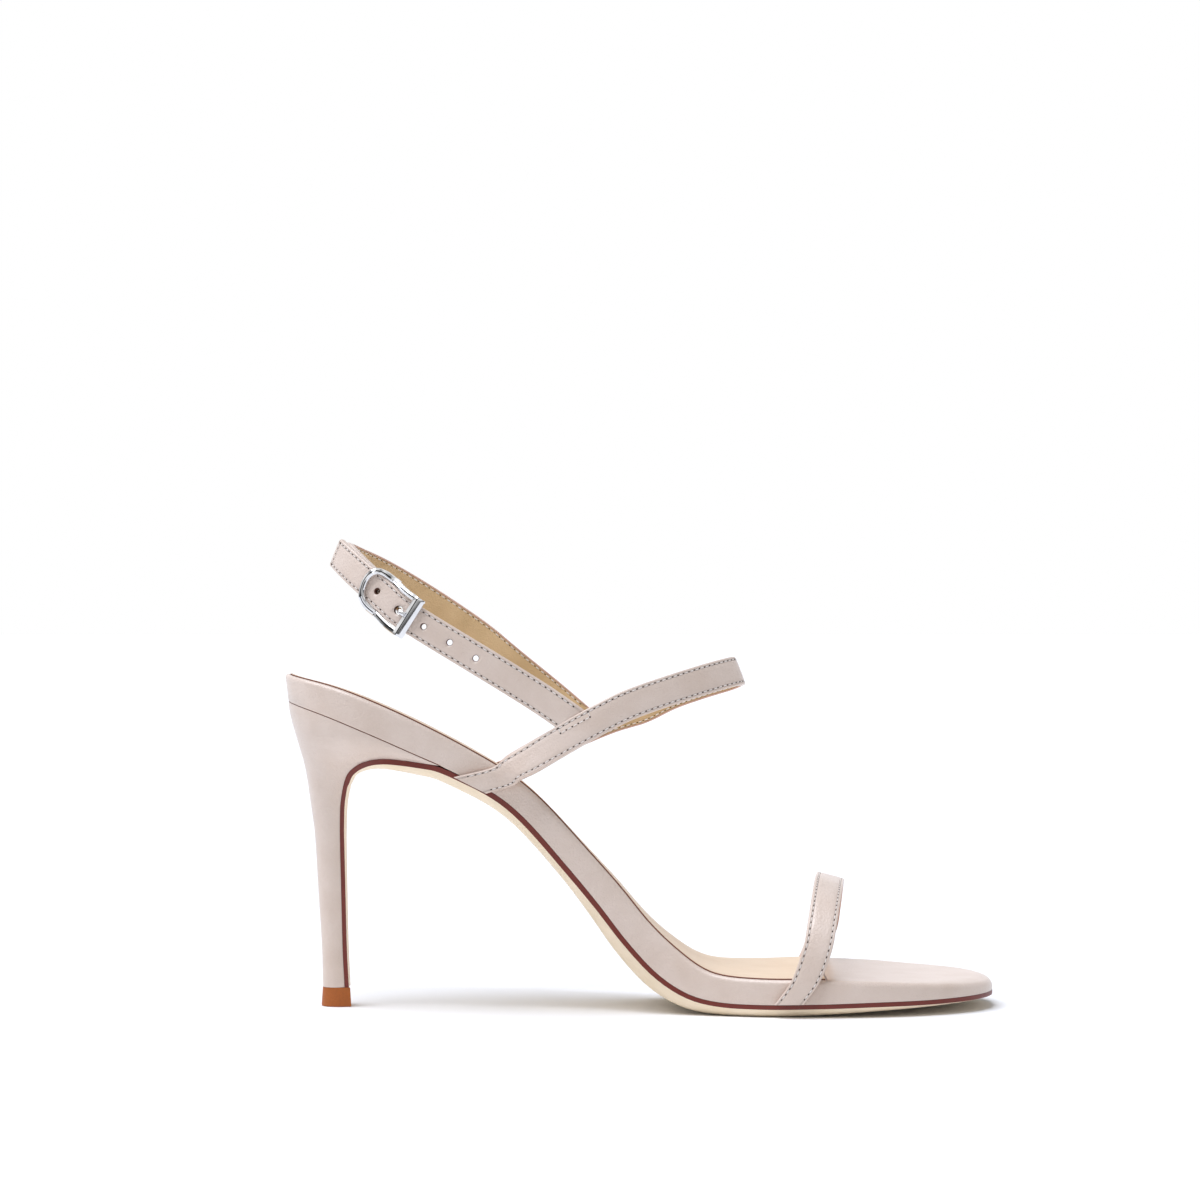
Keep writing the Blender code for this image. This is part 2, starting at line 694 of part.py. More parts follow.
class BuckleFrame:
    """Places round the buckle, told by how far they lie ahead of its centre bar along the strap."""

    def __init__(self):
        points, across = buckle_strap_line()
        self.points, self.across, self.lines = points[::-1], across[::-1], tangents(points)[::-1]
        self.lengths = [0.0]
        for a, b in zip(self.points, self.points[1:]):
            self.lengths.append(self.lengths[-1] + (b - a).length)

    def axes(self, ahead):
        """The strap's middle, and the directions ahead, across and outwards."""
        goal = BUCKLE_FROM_TIP + ahead
        i = 0
        while i < len(self.lengths) - 2 and self.lengths[i + 1] < goal:
            i += 1
        place = i + (goal - self.lengths[i]) / (self.lengths[i + 1] - self.lengths[i])
        middle, across, line = (read_at(values, place) for values in (self.points, self.across, self.lines))
        across = (across - line * across.dot(line) / line.dot(line)).normalized()
        return middle, -line.normalized(), across, across.cross(line).normalized()

    def at(self, ahead, aside, out):
        middle, _, across, outward = self.axes(ahead)
        return middle + across * aside + outward * out

    def flat(self, ahead, aside, out):
        """A place in the straight axes of the centre bar."""
        middle, forward, across, outward = self.axes(0)
        return middle + forward * ahead + across * aside + outward * out

    def matrix(self, ahead, out):
        middle, forward, across, outward = self.axes(ahead)
        turned = Matrix((forward, across, outward)).transposed().to_4x4()
        return Matrix.Translation(middle + outward * out) @ turned


FOLD_OUT = -(STRAP / 2 + CLEARANCE + FOLD / 2)
BAR_OUT = FOLD_OUT - FOLD / 2 - CLEARANCE - CENTRE_BAR / 2
FOLD_RADIUS = CENTRE_BAR / 2 + CLEARANCE + FOLD / 2
PRONG_RADIUS = CENTRE_BAR / 2 + CLEARANCE + PRONG / 2


def box(name, size, matrix):
    bpy.ops.mesh.primitive_cube_add(size=1)
    thing = bpy.context.object
    thing.name = name
    thing.data.transform(matrix @ Matrix.Diagonal((*size, 1)))
    return thing


def rod(name, radius, length, matrix, sides):
    bpy.ops.mesh.primitive_cylinder_add(vertices=sides, radius=radius, depth=length)
    thing = bpy.context.object
    thing.name = name
    thing.data.transform(matrix)
    return thing


def wire(name, points, radius, material, closed=False):
    """A round wire along the points, as a closed mesh."""
    curve = bpy.data.curves.new(name, "CURVE")
    curve.dimensions = "3D"
    curve.bevel_depth = radius
    curve.bevel_resolution = 2
    curve.use_fill_caps = not closed
    line = curve.splines.new("POLY")
    line.points.add(len(points) - 1)
    for knot, point in zip(line.points, points):
        knot.co = (*point, 1)
    line.use_cyclic_u = closed
    guide = bpy.data.objects.new(name, curve)
    bpy.context.scene.collection.objects.link(guide)
    bpy.context.view_layer.update()
    data = bpy.data.meshes.new_from_object(guide.evaluated_get(bpy.context.evaluated_depsgraph_get()))
    bpy.data.objects.remove(guide)
    mesh = bmesh.new()
    mesh.from_mesh(data)
    bmesh.ops.remove_doubles(mesh, verts=mesh.verts, dist=1e-6)
    bmesh.ops.recalc_face_normals(mesh, faces=mesh.faces)
    return add_object(name, mesh, material)


def back_strap(frame, material):
    """Round the back of the ankle, then inside the buckle strap and round the buckle's centre bar."""
    points, across = from_rows(BACK_STRAP_ROWS, ANKLE_SPREAD, ANKLE_TOP)
    under_strap = -(STRAP + CLEARANCE)
    pairs = 4
    for k in range(pairs):
        ahead = -UNDER_STRAP_FROM + (UNDER_STRAP_FROM - UNDER_STRAP_TO) * k / (pairs - 1)
        points.append(frame.at(ahead, 0, under_strap))
        across.append(frame.axes(ahead)[2])
    points, across = even_strap(points, across, STRAP_STATIONS)
    thickness = [STRAP] * STRAP_STATIONS
    fold = [(-1.9 * FOLD_RADIUS, under_strap + CLEARANCE / 3), (-0.7 * FOLD_RADIUS, FOLD_OUT)]
    for k in range(FOLD_TURNS + 1):
        turn = math.pi * (0.5 - k / FOLD_TURNS)
        fold.append((FOLD_RADIUS * math.cos(turn), BAR_OUT + FOLD_RADIUS * math.sin(turn)))
    inner = under_strap - STRAP / 2 - CLEARANCE - FOLD / 2
    fold.append((-1.5 * FOLD_RADIUS, 0.6 * (BAR_OUT - FOLD_RADIUS) + 0.4 * inner))
    fold += [(-0.6 * FOLD_RETURN, inner), (-FOLD_RETURN, inner)]
    for ahead, out in fold:
        points.append(frame.at(ahead, 0, out) if ahead < -2 * FOLD_RADIUS else frame.flat(ahead, 0, out))
        across.append(frame.axes(0)[2])
        thickness.append(FOLD)
    thickness[STRAP_STATIONS] = (STRAP + FOLD) / 2
    strap = band("back_strap", points, across, ANKLE_STRAP_WIDTH, thickness, material)
    slot = box("slot", (3.6 * FOLD_RADIUS, PRONG_SLOT, 4.2 * FOLD_RADIUS), frame.matrix(0, BAR_OUT))
    join(strap, slot, "DIFFERENCE")
    return strap


def upper_straps(frame, material):
    """The instep strap with both ankle straps sewn to it."""
    points, across = from_rows(INSTEP_ROWS, INSTEP_SPREAD, INSTEP_TOP)
    upright = Vector((across[0].x, 0, across[0].z))
    for side, foot in zip((-1, 1), INSTEP_FEET):
        raised = foot + INSTEP_FEET_RUN
        bottom = wall_point(foot, 1.3 * CLEARANCE, side)
        middle = wall_point(raised, 0.6 * BOARD, side)
        flat = 1.2 * wall_direction(foot, side)
        slanted = wall_direction(raised, side).lerp(upright, 0.3)
        if side < 0:
            points = [bottom, middle] + points
            across = [flat, slanted] + across
        else:
            points += [middle, bottom]
            across += [slanted, flat]
    points, across = even_strap(points, across, INSTEP_STATIONS)
    thickness = [STRAP] * INSTEP_STATIONS
    upper = band("upper_straps", points, across, INSTEP_STRAP_WIDTH, thickness, material)
    points, across = buckle_strap_line()
    thickness = [STRAP] * STRAP_STATIONS
    buckle_strap = band("buckle_strap", points, across, ANKLE_STRAP_WIDTH, thickness, material)
    for k in range(-HOLES_BEHIND, HOLES_AHEAD + 1):
        radius = (HOLE if k else PRONG_HOLE) / 2
        cutter = rod("hole", radius, 4 * STRAP, frame.matrix(PRONG_REACH + k * HOLE_PITCH, 0), 14)
        join(buckle_strap, cutter, "DIFFERENCE")
    join(upper, buckle_strap)
    join(upper, back_strap(frame, material))
    return upper


def buckle(frame, material):
    """End bar, side rails, centre bar and keeper, bent at the centre bar so that both loops rise."""
    rail = (BUCKLE_WIDTH - BUCKLE_WIRE) / 2
    over = STRAP / 2 + CLEARANCE + BUCKLE_WIRE / 2
    end = END_BAR_REACH
    bow = KEEPER_REACH
    half = (
        (end, 0.0, over),
        (end, 0.86 * rail, over),
        (end - 0.5 * BUCKLE_WIRE, rail, over - 0.3 * CLEARANCE),
        (0.5 * end, rail, 0.5 * (over + BAR_OUT)),
        (0.4 * CENTRE_BAR, rail, BAR_OUT + CLEARANCE),
        (-0.4 * CENTRE_BAR, rail, BAR_OUT + CLEARANCE),
        (-0.35 * bow, rail, 0.5 * (over + BAR_OUT)),
        (-0.62 * bow, 0.98 * rail, over - 0.3 * BUCKLE_WIRE),
        (-0.82 * bow, 0.82 * rail, over),
        (-0.95 * bow, 0.5 * rail, over + 0.3 * CLEARANCE),
        (-bow, 0.0, over + 0.5 * CLEARANCE),
    )
    loop = [frame.at(*row) for row in half]
    loop += [frame.at(ahead, -aside, out) for ahead, aside, out in half[-2:0:-1]]
    whole = wire("buckle", loop, BUCKLE_WIRE / 2, material, closed=True)
    bar_out = STRAP / 2 + CLEARANCE + END_BAR_THICK / 2
    end_bar = box("end_bar", (END_BAR, BUCKLE_WIDTH, END_BAR_THICK), frame.matrix(end, bar_out))
    ease = end_bar.modifiers.new("ease", "BEVEL")
    ease.width = 0.25 * END_BAR_THICK
    ease.segments = 2
    join(whole, end_bar)
    across_bar = frame.matrix(0, BAR_OUT) @ Matrix.Rotation(math.pi / 2, 4, "X")
    join(whole, rod("centre_bar", CENTRE_BAR / 2, 2 * rail, across_bar, 12))
    notch_out = bar_out + END_BAR_THICK / 2
    notch_size = (0.5 * END_BAR, PRONG + 2 * CLEARANCE, END_BAR_THICK)
    notch = box("notch", notch_size, frame.matrix(end - 0.5 * END_BAR, notch_out))
    join(whole, notch, "DIFFERENCE")
    return whole


def prong(frame, material):
    """A wire curled round the centre bar, through the strap's hole and down on the end bar."""
    points = []
    turns = 12
    for k in range(turns + 1):
        turn = math.radians(-50 - 230 * k / turns)
        points.append(frame.flat(PRONG_RADIUS * math.cos(turn), 0, BAR_OUT + PRONG_RADIUS * math.sin(turn)))
    under = -(STRAP / 2 + 1.3 * CLEARANCE + PRONG / 2)
    over = STRAP / 2 + CLEARANCE + 0.55 * END_BAR_THICK + PRONG / 2
    rest = END_BAR_REACH - 0.42 * END_BAR
    for ahead, out in (
        (0.35 * PRONG_REACH, under - 0.35 * PRONG),
        (0.68 * PRONG_REACH, under - 0.17 * PRONG),
        (0.86 * PRONG_REACH, under),
        (0.95 * PRONG_REACH, 0.6 * under),
        (1.05 * PRONG_REACH, 0.45 * over),
        (1.14 * PRONG_REACH, 0.85 * over),
        (0.5 * (1.14 * PRONG_REACH + rest), over),
        (rest, over),
    ):
        points.append(frame.at(ahead, 0, out))
    return wire("prong", points, PRONG / 2, material)


def main():
    nude = finish("nude_leather", (0.66, 0.56, 0.50), 0.45)
    platform(nude)
    sock(finish("sock_leather", (0.72, 0.58, 0.42), 0.5))
    heel(nude)
    top_piece(finish("top_piece_rubber", (0.47, 0.14, 0.014), 0.6))
    outsole(finish("outsole_leather", (0.85, 0.73, 0.54), 0.5))
    toe_strap(nude)
    frame = BuckleFrame()
    upper_straps(frame, nude)
    silver = finish("polished_metal", (0.80, 0.80, 0.82), 0.12, 1.0)
    buckle(frame, silver)
    prong(frame, silver)


for stale in list(bpy.data.objects):
    bpy.data.objects.remove(stale)
parts = bpy.data.collections.new("strappy_heeled_sandal")
bpy.context.scene.collection.children.link(parts)
main()
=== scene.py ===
"""Looks of the strappy heeled sandal: leather, stitches, lining, buckle, floor, lights and camera.

Metres, +Z up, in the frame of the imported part. The toe points along +X, the outer side is at -Y, and the
origin is on the floor under the middle of the heel tip.
"""
import math
from bisect import bisect_right

import bmesh
import bpy
from mathutils import Matrix, Vector


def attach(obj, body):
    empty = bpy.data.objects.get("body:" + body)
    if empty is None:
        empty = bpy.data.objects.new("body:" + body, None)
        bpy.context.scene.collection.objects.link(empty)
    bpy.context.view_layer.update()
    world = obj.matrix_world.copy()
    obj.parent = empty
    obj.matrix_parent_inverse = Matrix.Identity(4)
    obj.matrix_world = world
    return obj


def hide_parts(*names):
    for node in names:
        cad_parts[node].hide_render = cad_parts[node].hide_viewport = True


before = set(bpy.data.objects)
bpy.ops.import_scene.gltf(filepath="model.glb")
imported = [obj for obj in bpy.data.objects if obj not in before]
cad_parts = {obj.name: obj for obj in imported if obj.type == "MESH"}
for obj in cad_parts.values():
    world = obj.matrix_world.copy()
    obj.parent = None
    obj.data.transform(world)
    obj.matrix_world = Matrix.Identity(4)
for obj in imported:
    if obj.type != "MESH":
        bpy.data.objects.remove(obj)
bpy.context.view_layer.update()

MM = 0.001
CLEARANCE = 0.3 * MM

# Driving sizes of the sole and the heel
SOLE_LENGTH = 220 * MM
HEEL_OVERHANG = 15 * MM
HEEL_RISE = 95.2 * MM
BALL_WIDTH = 74 * MM
HEEL_ROUND = 30 * MM
TOE_ROUND = 52 * MM
BOARD = 9.4 * MM
BOARD_EDGE = 1.6 * MM
SEAT_CUP = 1.2 * MM
SEAT_CUP_END = 0.5
INNER_DROP = 2.0 * MM
INNER_DROP_FADES = (0.32, 0.62)
TOE_EASE = 1.7 * MM
TOE_EASE_WIDTH = 5 * MM
BACK_LEAN = math.radians(7)
BACK_LEAN_END = 0.16
SOCK = 1.1 * MM
SOCK_INSET = 1.7 * MM
SOCK_RAISE = 0.45 * MM
SOCK_END = 0.753
TREAD = 4.0 * MM
TREAD_EDGE = 1.4 * MM
TREAD_BEVEL = 4.5 * MM
BREAST_FLAP = 1.5 * MM
LIP_ALONG = 0.218
TIP_HEIGHT = 6 * MM
TIP_LENGTH = 8.8 * MM
TIP_WIDTH = 9 * MM
TIP_FLARE = 0.3 * MM
STEM_WIDEST = 0.6

# Driving sizes of the straps
STRAP = 1.8 * MM
STRAP_STAND_OFF = 0.5 * MM
TOE_STRAP_WIDTH = 8.9 * MM
TOE_ARCH = 40.4 * MM
INSTEP_STRAP_WIDTH = 9.3 * MM
INSTEP_REACH = 140.3 * MM
INSTEP_SPREAD = 29.5 * MM
INSTEP_TOP = 104.5 * MM
ANKLE_STRAP_WIDTH = 9.4 * MM
ANKLE_SPREAD = 28.3 * MM
ANKLE_TOP = 141.9 * MM
FOLD = 1.2 * MM
FOLD_RETURN = 8 * MM
FOLD_TURNS = 8
UNDER_STRAP_FROM = 24 * MM
UNDER_STRAP_TO = 6 * MM
HOLE = 1.8 * MM
PRONG_HOLE = 2.8 * MM
HOLE_PITCH = 9.3 * MM
HOLES_AHEAD = 3
HOLES_BEHIND = 1

# Driving sizes of the buckle
BUCKLE_FROM_TIP = 26.5 * MM
BUCKLE_WIRE = 1.7 * MM
BUCKLE_WIDTH = 13.5 * MM
END_BAR_REACH = 11.2 * MM
END_BAR = 3.6 * MM
END_BAR_THICK = 2.0 * MM
KEEPER_REACH = 7.2 * MM
CENTRE_BAR = 1.6 * MM
PRONG = 1.2 * MM
PRONG_REACH = 6.9 * MM
PRONG_SLOT = 2.2 * MM

# The sole from heel (along 0) to toe (along 1). up is a share of HEEL_RISE and gives the seam between
# the platform and what is under it; centre and half are shares of BALL_WIDTH; board and tread are
# shares of the platform's and the outsole's thickness.
SOLE_COLUMNS = ("along", "up", "centre", "half", "board", "tread")
SOLE_ROWS = (
    (0.00, 1.000, 0.000, 0.358, 0.95, 0.80),
    (0.06, 0.955, 0.000, 0.358, 1.03, 0.85),
    (0.12, 0.899, 0.000, 0.357, 1.02, 0.92),
    (0.18, 0.838, 0.000, 0.354, 0.98, 1.02),
    (0.24, 0.776, -0.005, 0.340, 0.88, 1.08),
    (0.30, 0.701, -0.012, 0.322, 0.80, 1.06),
    (0.34, 0.622, -0.017, 0.310, 0.80, 0.98),
    (0.40, 0.464, -0.020, 0.303, 0.84, 0.94),
    (0.44, 0.352, -0.020, 0.304, 0.89, 1.08),
    (0.48, 0.233, -0.022, 0.314, 0.93, 1.24),
    (0.52, 0.135, -0.025, 0.335, 1.00, 1.28),
    (0.56, 0.074, -0.027, 0.363, 0.95, 1.18),
    (0.60, 0.048, -0.025, 0.395, 0.86, 1.06),
    (0.66, 0.041, -0.018, 0.447, 0.81, 1.04),
    (0.74, 0.044, 0.000, 0.492, 0.78, 0.92),
    (0.82, 0.049, 0.022, 0.503, 0.68, 0.80),
    (0.90, 0.051, 0.045, 0.497, 0.57, 0.62),
    (1.00, 0.056, 0.070, 0.486, 0.46, 0.40),
)

# The heel from its tip to the seat. Each row is one section across it: back and front are shares of the
# way from the tip to the seat's back and to its front lip, back_up and front_up are shares of the rise
# there, width is the share of the way from the tip's width to the seat's, and seat is how far the
# section has taken the outline of the seat.
HEEL_COLUMNS = ("back", "back_up", "front", "front_up", "width", "seat")
HEEL_ROWS = (
    (0.00, 0.000, 0.000, 0.000, 0.000, 0.00),
    (0.03, 0.143, -0.020, 0.183, 0.012, 0.00),
    (0.14, 0.352, -0.034, 0.449, 0.040, 0.00),
    (0.20, 0.478, -0.042, 0.612, 0.075, 0.00),
    (0.26, 0.562, -0.043, 0.722, 0.120, 0.03),
    (0.36, 0.647, -0.030, 0.833, 0.200, 0.08),
    (0.46, 0.730, 0.026, 0.937, 0.335, 0.18),
    (0.55, 0.785, 0.118, 0.985, 0.455, 0.30),
    (0.72, 0.855, 0.262, 1.015, 0.640, 0.48),
    (0.83, 0.900, 0.432, 1.026, 0.785, 0.64),
    (0.92, 0.940, 0.650, 1.020, 0.900, 0.80),
    (0.98, 0.975, 0.891, 1.006, 0.975, 0.94),
    (1.00, 1.000, 1.000, 1.000, 1.000, 1.00),
)

# The instep strap's middle line from the outer side of the platform round the front to the inner side.
# reach and side are shares of INSTEP_REACH (from the heel's back) and INSTEP_SPREAD, and up is a share of
# INSTEP_TOP. tilt and lean are how many degrees the strap's upper edge lies back and to the inner side.
INSTEP_ROWS = (
    (0.502, -0.925, 0.717, 37, 36),
    (0.541, -0.970, 0.746, 31, 28),
    (0.593, -0.995, 0.789, 28, 18),
    (0.645, -1.000, 0.830, 25, 9),
    (0.697, -0.965, 0.868, 23, 3),
    (0.749, -0.895, 0.902, 23, 0),
    (0.802, -0.795, 0.928, 22, 0),
    (0.868, -0.625, 0.956, 21, 0),
    (0.935, -0.390, 0.982, 21, 0),
    (0.985, -0.140, 0.998, 21, 0),
    (1.000, 0.080, 0.998, 21, 0),
    (0.980, 0.300, 0.984, 21, 0),
    (0.920, 0.540, 0.957, 21, 0),
    (0.855, 0.745, 0.924, 22, 0),
    (0.789, 0.890, 0.880, 23, 0),
    (0.719, 0.975, 0.850, 23, -3),
    (0.650, 1.000, 0.812, 23, -9),
    (0.595, 0.960, 0.776, 28, -18),
    (0.548, 0.910, 0.743, 31, -28),
    (0.504, 0.860, 0.712, 37, -36),
)

# Where each strap leaves the seam on the outer and the inner side, as shares of the sole's length.
INSTEP_FEET = (0.264, 0.266)
INSTEP_FEET_RUN = 0.028
TOE_FEET = (0.702, 0.731)
TOE_FEET_LEAN = 0.7
TOE_TOP = 0.768
TOE_PITCH = 0.27

# The ankle straps' middle lines, as shares of INSTEP_REACH, ANKLE_SPREAD and ANKLE_TOP. The buckle
# strap runs from the outer side of the instep strap to its tip at the back of the ankle.
BUCKLE_STRAP_ROWS = (
    (0.655, -1.005, 0.619, -28, 0),
    (0.575, -0.990, 0.674, -29, 0),
    (0.502, -1.000, 0.720, -30, 0),
    (0.411, -0.995, 0.775, -30, 0),
    (0.319, -0.960, 0.830, -30, 0),
    (0.257, -0.890, 0.869, -29, 0),
    (0.223, -0.815, 0.899, -28, 0),
    (0.174, -0.655, 0.940, -26, -5),
    (0.136, -0.450, 0.973, -24, -11),
    (0.111, -0.240, 0.996, -23, -17),
)
# The back strap runs from the inner side of the instep strap round the back of the ankle. From there it
# follows the inside of the buckle strap to the buckle.
BACK_STRAP_ROWS = (
    (0.665, 0.990, 0.611, -28, 0),
    (0.585, 1.005, 0.678, -30, 0),
    (0.500, 1.020, 0.746, -32, 0),
    (0.421, 1.010, 0.810, -32, 0),
    (0.335, 0.985, 0.869, -31, 0),
    (0.257, 0.905, 0.918, -29, 0),
    (0.192, 0.720, 0.955, -26, 0),
    (0.146, 0.460, 0.977, -24, 0),
    (0.124, 0.160, 0.988, -23, 0),
)

# How finely the pieces are divided
STATION = 2.2 * MM
END_STATIONS = 18
HEEL_STATIONS = 60
HEEL_SIDE_POINTS = 22
LIP_SOFTENING = 12
LIP_SPREAD = 5
ACROSS_TOP = 8
STRAP_STEP = 1.1 * MM
STRAP_PASSES = 8
FOLD_POINTS = 48
PRONG_POINTS = 90
PRONG_SIDES = 16

# Fine sizes of the leather work
LINING = 0.55 * MM
TURNED_EDGE = 0.5 * MM
TURNED_FACES = (0, 1, 2)
# The faces of each stitch channel, which take a darker nude as painted shade
CHANNEL_FACES = (9, 10, 11)
EDGE_ROUND = 0.5 * MM
LINING_GAP = 0.05 * MM
CROWN = 0.1 * MM
STITCH_ROW = 1.0 * MM
STITCH_PITCH = 2.1 * MM
STITCH = 1.35 * MM
THREAD = 0.38 * MM
THREAD_RAISE = 0.08 * MM
NEEDLE_HOLE = 0.6 * MM
GROOVE = 0.10 * MM
GROOVE_WIDTH = 0.7 * MM
JOIN_SEAM = 10 * MM
JOIN_SEAM_GAP = 1.7 * MM
SEAM_CHAMFER = 0.25 * MM
SEAM_GAP = 0.06 * MM
BROADER = 1.2
BROAD_FADES = (0.60, 0.40)
FOOT_LAP = 1.3 * MM
HOLE_RIM = 0.15 * MM
HOLE_RIM_DEPTH = 0.15 * MM
SOCK_PAINT = 0.3 * MM
PRONG_SPREAD = 1.35
PRONG_CURL = (-50, -280)
BUCKLE_POINTS = 160
RING_PASSES = 7
RAIL_DIP = -0.5 * MM
EAR = 1.5 * MM
FRAME_SPREAD = 1.2
EDGE_CURVE = ((0.04, 0.04), (0.13, 0.30), (0.30, 0.55), (0.60, 0.84), (1.00, 1.00))
JOIN_AT = 74.6 * MM
TUCK = 5.5 * MM
TUCK_THINS = 2.5 * MM
FOLD_THINS = 2 * MM
FOLD_LENGTH = 17 * MM
FOLD_OUT = -(STRAP / 2 + CLEARANCE + FOLD / 2)
BAR_OUT = FOLD_OUT - FOLD / 2 - CLEARANCE - CENTRE_BAR / 2
FOLD_RADIUS = CENTRE_BAR / 2 + CLEARANCE + FOLD / 2
PRONG_RADIUS = CENTRE_BAR / 2 + CLEARANCE + PRONG / 2

# Sections of the buckle's frame and end bar, as shares of their halves, and the faces of the groove, which
# take a dark grey as painted shade
FRAME_SECTION = (
    (-1.00, -0.50),
    (-1.00, 0.45),
    (-0.80, 0.80),
    (-0.40, 1.00),
    (-0.12, 0.92),
    (0.05, 0.30),
    (0.22, 0.80),
    (0.75, 0.62),
    (1.00, 0.25),
    (1.00, -0.50),
    (0.70, -1.00),
    (-0.70, -1.00),
)
FRAME_GROOVE = (4, 5)
END_BAR_SECTION = (
    (-0.80, -1.00),
    (-1.00, -0.60),
    (-1.00, 0.35),
    (-0.42, 0.92),
    (-0.34, 0.60),
    (-0.26, 1.00),
    (0.30, 1.00),
    (0.70, 0.80),
    (1.00, 0.35),
    (1.00, -0.50),
    (0.80, -1.00),
)
END_BAR_GROOVE = (3, 4)
# The end bar's rounded ends, as shares of its width and how far its section is drawn in there
END_BAR_ROUNDING = ((-0.5, 0.86), (-0.47, 0.97), (-0.44, 1), (0.44, 1), (0.47, 0.97), (0.5, 0.86))

# Colours, as linear red, green and blue
NUDE = (0.72, 0.595, 0.515)
NUDE_DEEP = (0.67, 0.54, 0.455)
# A darker nude painted into the stitch channels as the shade in them
CHANNEL_SHADE_COLOUR = (0.58, 0.475, 0.41)
TAN = (0.74, 0.52, 0.28)
TAN_DEEP = (0.62, 0.42, 0.21)
SOCK_TAN = (0.80, 0.635, 0.465)
SOCK_DEEP = (0.76, 0.59, 0.42)
SOCK_EDGE_COLOUR = (0.24, 0.085, 0.045)
CREAM = (0.92, 0.775, 0.585)
CREAM_DEEP = (0.86, 0.71, 0.51)
DARK_EDGE = (0.165, 0.021, 0.011)
TIP_COLOUR = (0.40, 0.105, 0.012)
SILVER = (0.77, 0.77, 0.78)
THREAD_COLOUR = (0.82, 0.76, 0.71)
# Near black painted on each needle hole as the shade in it
NEEDLE_HOLE_SHADE = (0.035, 0.02, 0.015)
TURNED_COLOUR = (0.68, 0.43, 0.33)
PUNCHED_COLOUR = (0.13, 0.05, 0.03)
# Brown painted on the chamfer along the seam as the seam's shadow
SEAM_SHADOW_COLOUR = (0.24, 0.09, 0.055)
# Dark grey painted into the buckle's grooves as the shade in them
GROOVE_SHADE_COLOUR = (0.10, 0.10, 0.10)
FLOOR_WHITE = (0.96, 0.96, 0.96)

# The camera stands level, and its focal length is in pixels of the photo's frame
CAMERA = (82.2 * MM, -1150 * MM, 126.7 * MM)
CAMERA_FOCUS = 3680
IMAGE_SIZE = 1200
SENSOR = 36

FLOOR_HALF = 12

# The room that glossy things reflect, from the nadir (0) to the zenith (1), as position and grey
REFLECTED_ROOM = (
    (0.00, 0.85),
    (0.42, 0.80),
    (0.47, 0.25),
    (0.54, 0.08),
    (0.60, 0.50),
    (0.67, 0.78),
    (0.73, 1.15),
    (0.80, 0.25),
    (0.86, 0.90),
    (1.00, 1.00),
)

# The room's own light is grey, glossy things also see a white backdrop low down behind the shoe, and the
# lamps do the rest. The backdrop comes in with the view's direction along Y and goes out with its height.
BACKDROP_LIGHT = (1.10, 1.08, 1.12)
BACKDROP_BEHIND = (-0.02, 0.22)
BACKDROP_TOP = (0.25, 0.45)
ROOM_LIGHT = (0.33, 0.34, 0.355)
LAMP_COLOUR = (1.0, 1.03, 1.12)
# Each lamp's name, direction, strength and width in degrees. The small one gives edges their bright line.
LAMPS = (
    ("soft_lamp", (-0.38, -0.08, 0.92), 2.4, 50),
    ("small_lamp", (-0.12, -0.34, 0.93), 0.42, 10),
)


def smooth(rows, columns, name, at):
    """Read one column of a table at a value of its first column, on a smooth curve through its rows."""
    keys = [row[0] for row in rows]
    values = [row[columns.index(name)] for row in rows]
    last = len(rows) - 1
    at = min(max(at, keys[0]), keys[-1])
    i = max(k for k in range(last) if keys[k] <= at)
    low, high = max(i - 1, 0), min(i + 2, last)
    gap = keys[i + 1] - keys[i]
    slope_in = (values[i + 1] - values[low]) / (keys[i + 1] - keys[low]) * gap
    slope_out = (values[high] - values[i]) / (keys[high] - keys[i]) * gap
    u = (at - keys[i]) / gap
    return (
        values[i] * (2 * u**3 - 3 * u**2 + 1)
        + slope_in * (u**3 - 2 * u**2 + u)
        + values[i + 1] * (3 * u**2 - 2 * u**3)
        + slope_out * (u**3 - u**2)
    )


def sole(name, along):
    return smooth(SOLE_ROWS, SOLE_COLUMNS, name, along)


def share_of(value, start, end):
    """How far a value has come from start to end, from 0 to 1."""
    return min(max((value - start) / (end - start), 0), 1)


def ease(share):
    """Let a share start and end gently."""
    return share * share * (3 - 2 * share)


def curve_through(points, count):
    """Place count points evenly along a smooth curve through the given ones.

    Each comes with its place among the given points, such as 2.5 for halfway from the third to the next.
    """
    steps = 16
    fine = []
    padded = [2 * points[0] - points[1]] + points + [2 * points[-1] - points[-2]]
    for a, b, c, d in zip(padded, padded[1:], padded[2:], padded[3:]):
        for step in range(steps):
            u = step / steps
            cubic = 3 * b - a - 3 * c + d
            fine.append(0.5 * (2 * b + (c - a) * u + (2 * a - 5 * b + 4 * c - d) * u**2 + cubic * u**3))
    fine.append(points[-1])
    lengths = [0.0]
    for a, b in zip(fine, fine[1:]):
        lengths.append(lengths[-1] + (b - a).length)
    spread, places = [], []
    i = 0
    for k in range(count):
        goal = lengths[-1] * k / (count - 1)
        while i < len(fine) - 2 and lengths[i + 1] < goal:
            i += 1
        u = (goal - lengths[i]) / (lengths[i + 1] - lengths[i])
        spread.append(fine[i].lerp(fine[i + 1], u))
        places.append((i + u) / steps)
    return spread, places


def read_at(values, place):
    """Read a list between its entries."""
    i = min(int(place), len(values) - 2)
    return values[i] + (values[i + 1] - values[i]) * (place - i)


def tangents(points):
    ends = [points[0]] + points + [points[-1]]
    return [(after - before).normalized() for before, after in zip(ends, ends[2:])]


def seam(along):
    """The seam line under the platform, in the shoe's middle plane."""
    return Vector((along * SOLE_LENGTH - HEEL_OVERHANG, 0, HEEL_RISE * sole("up", along)))


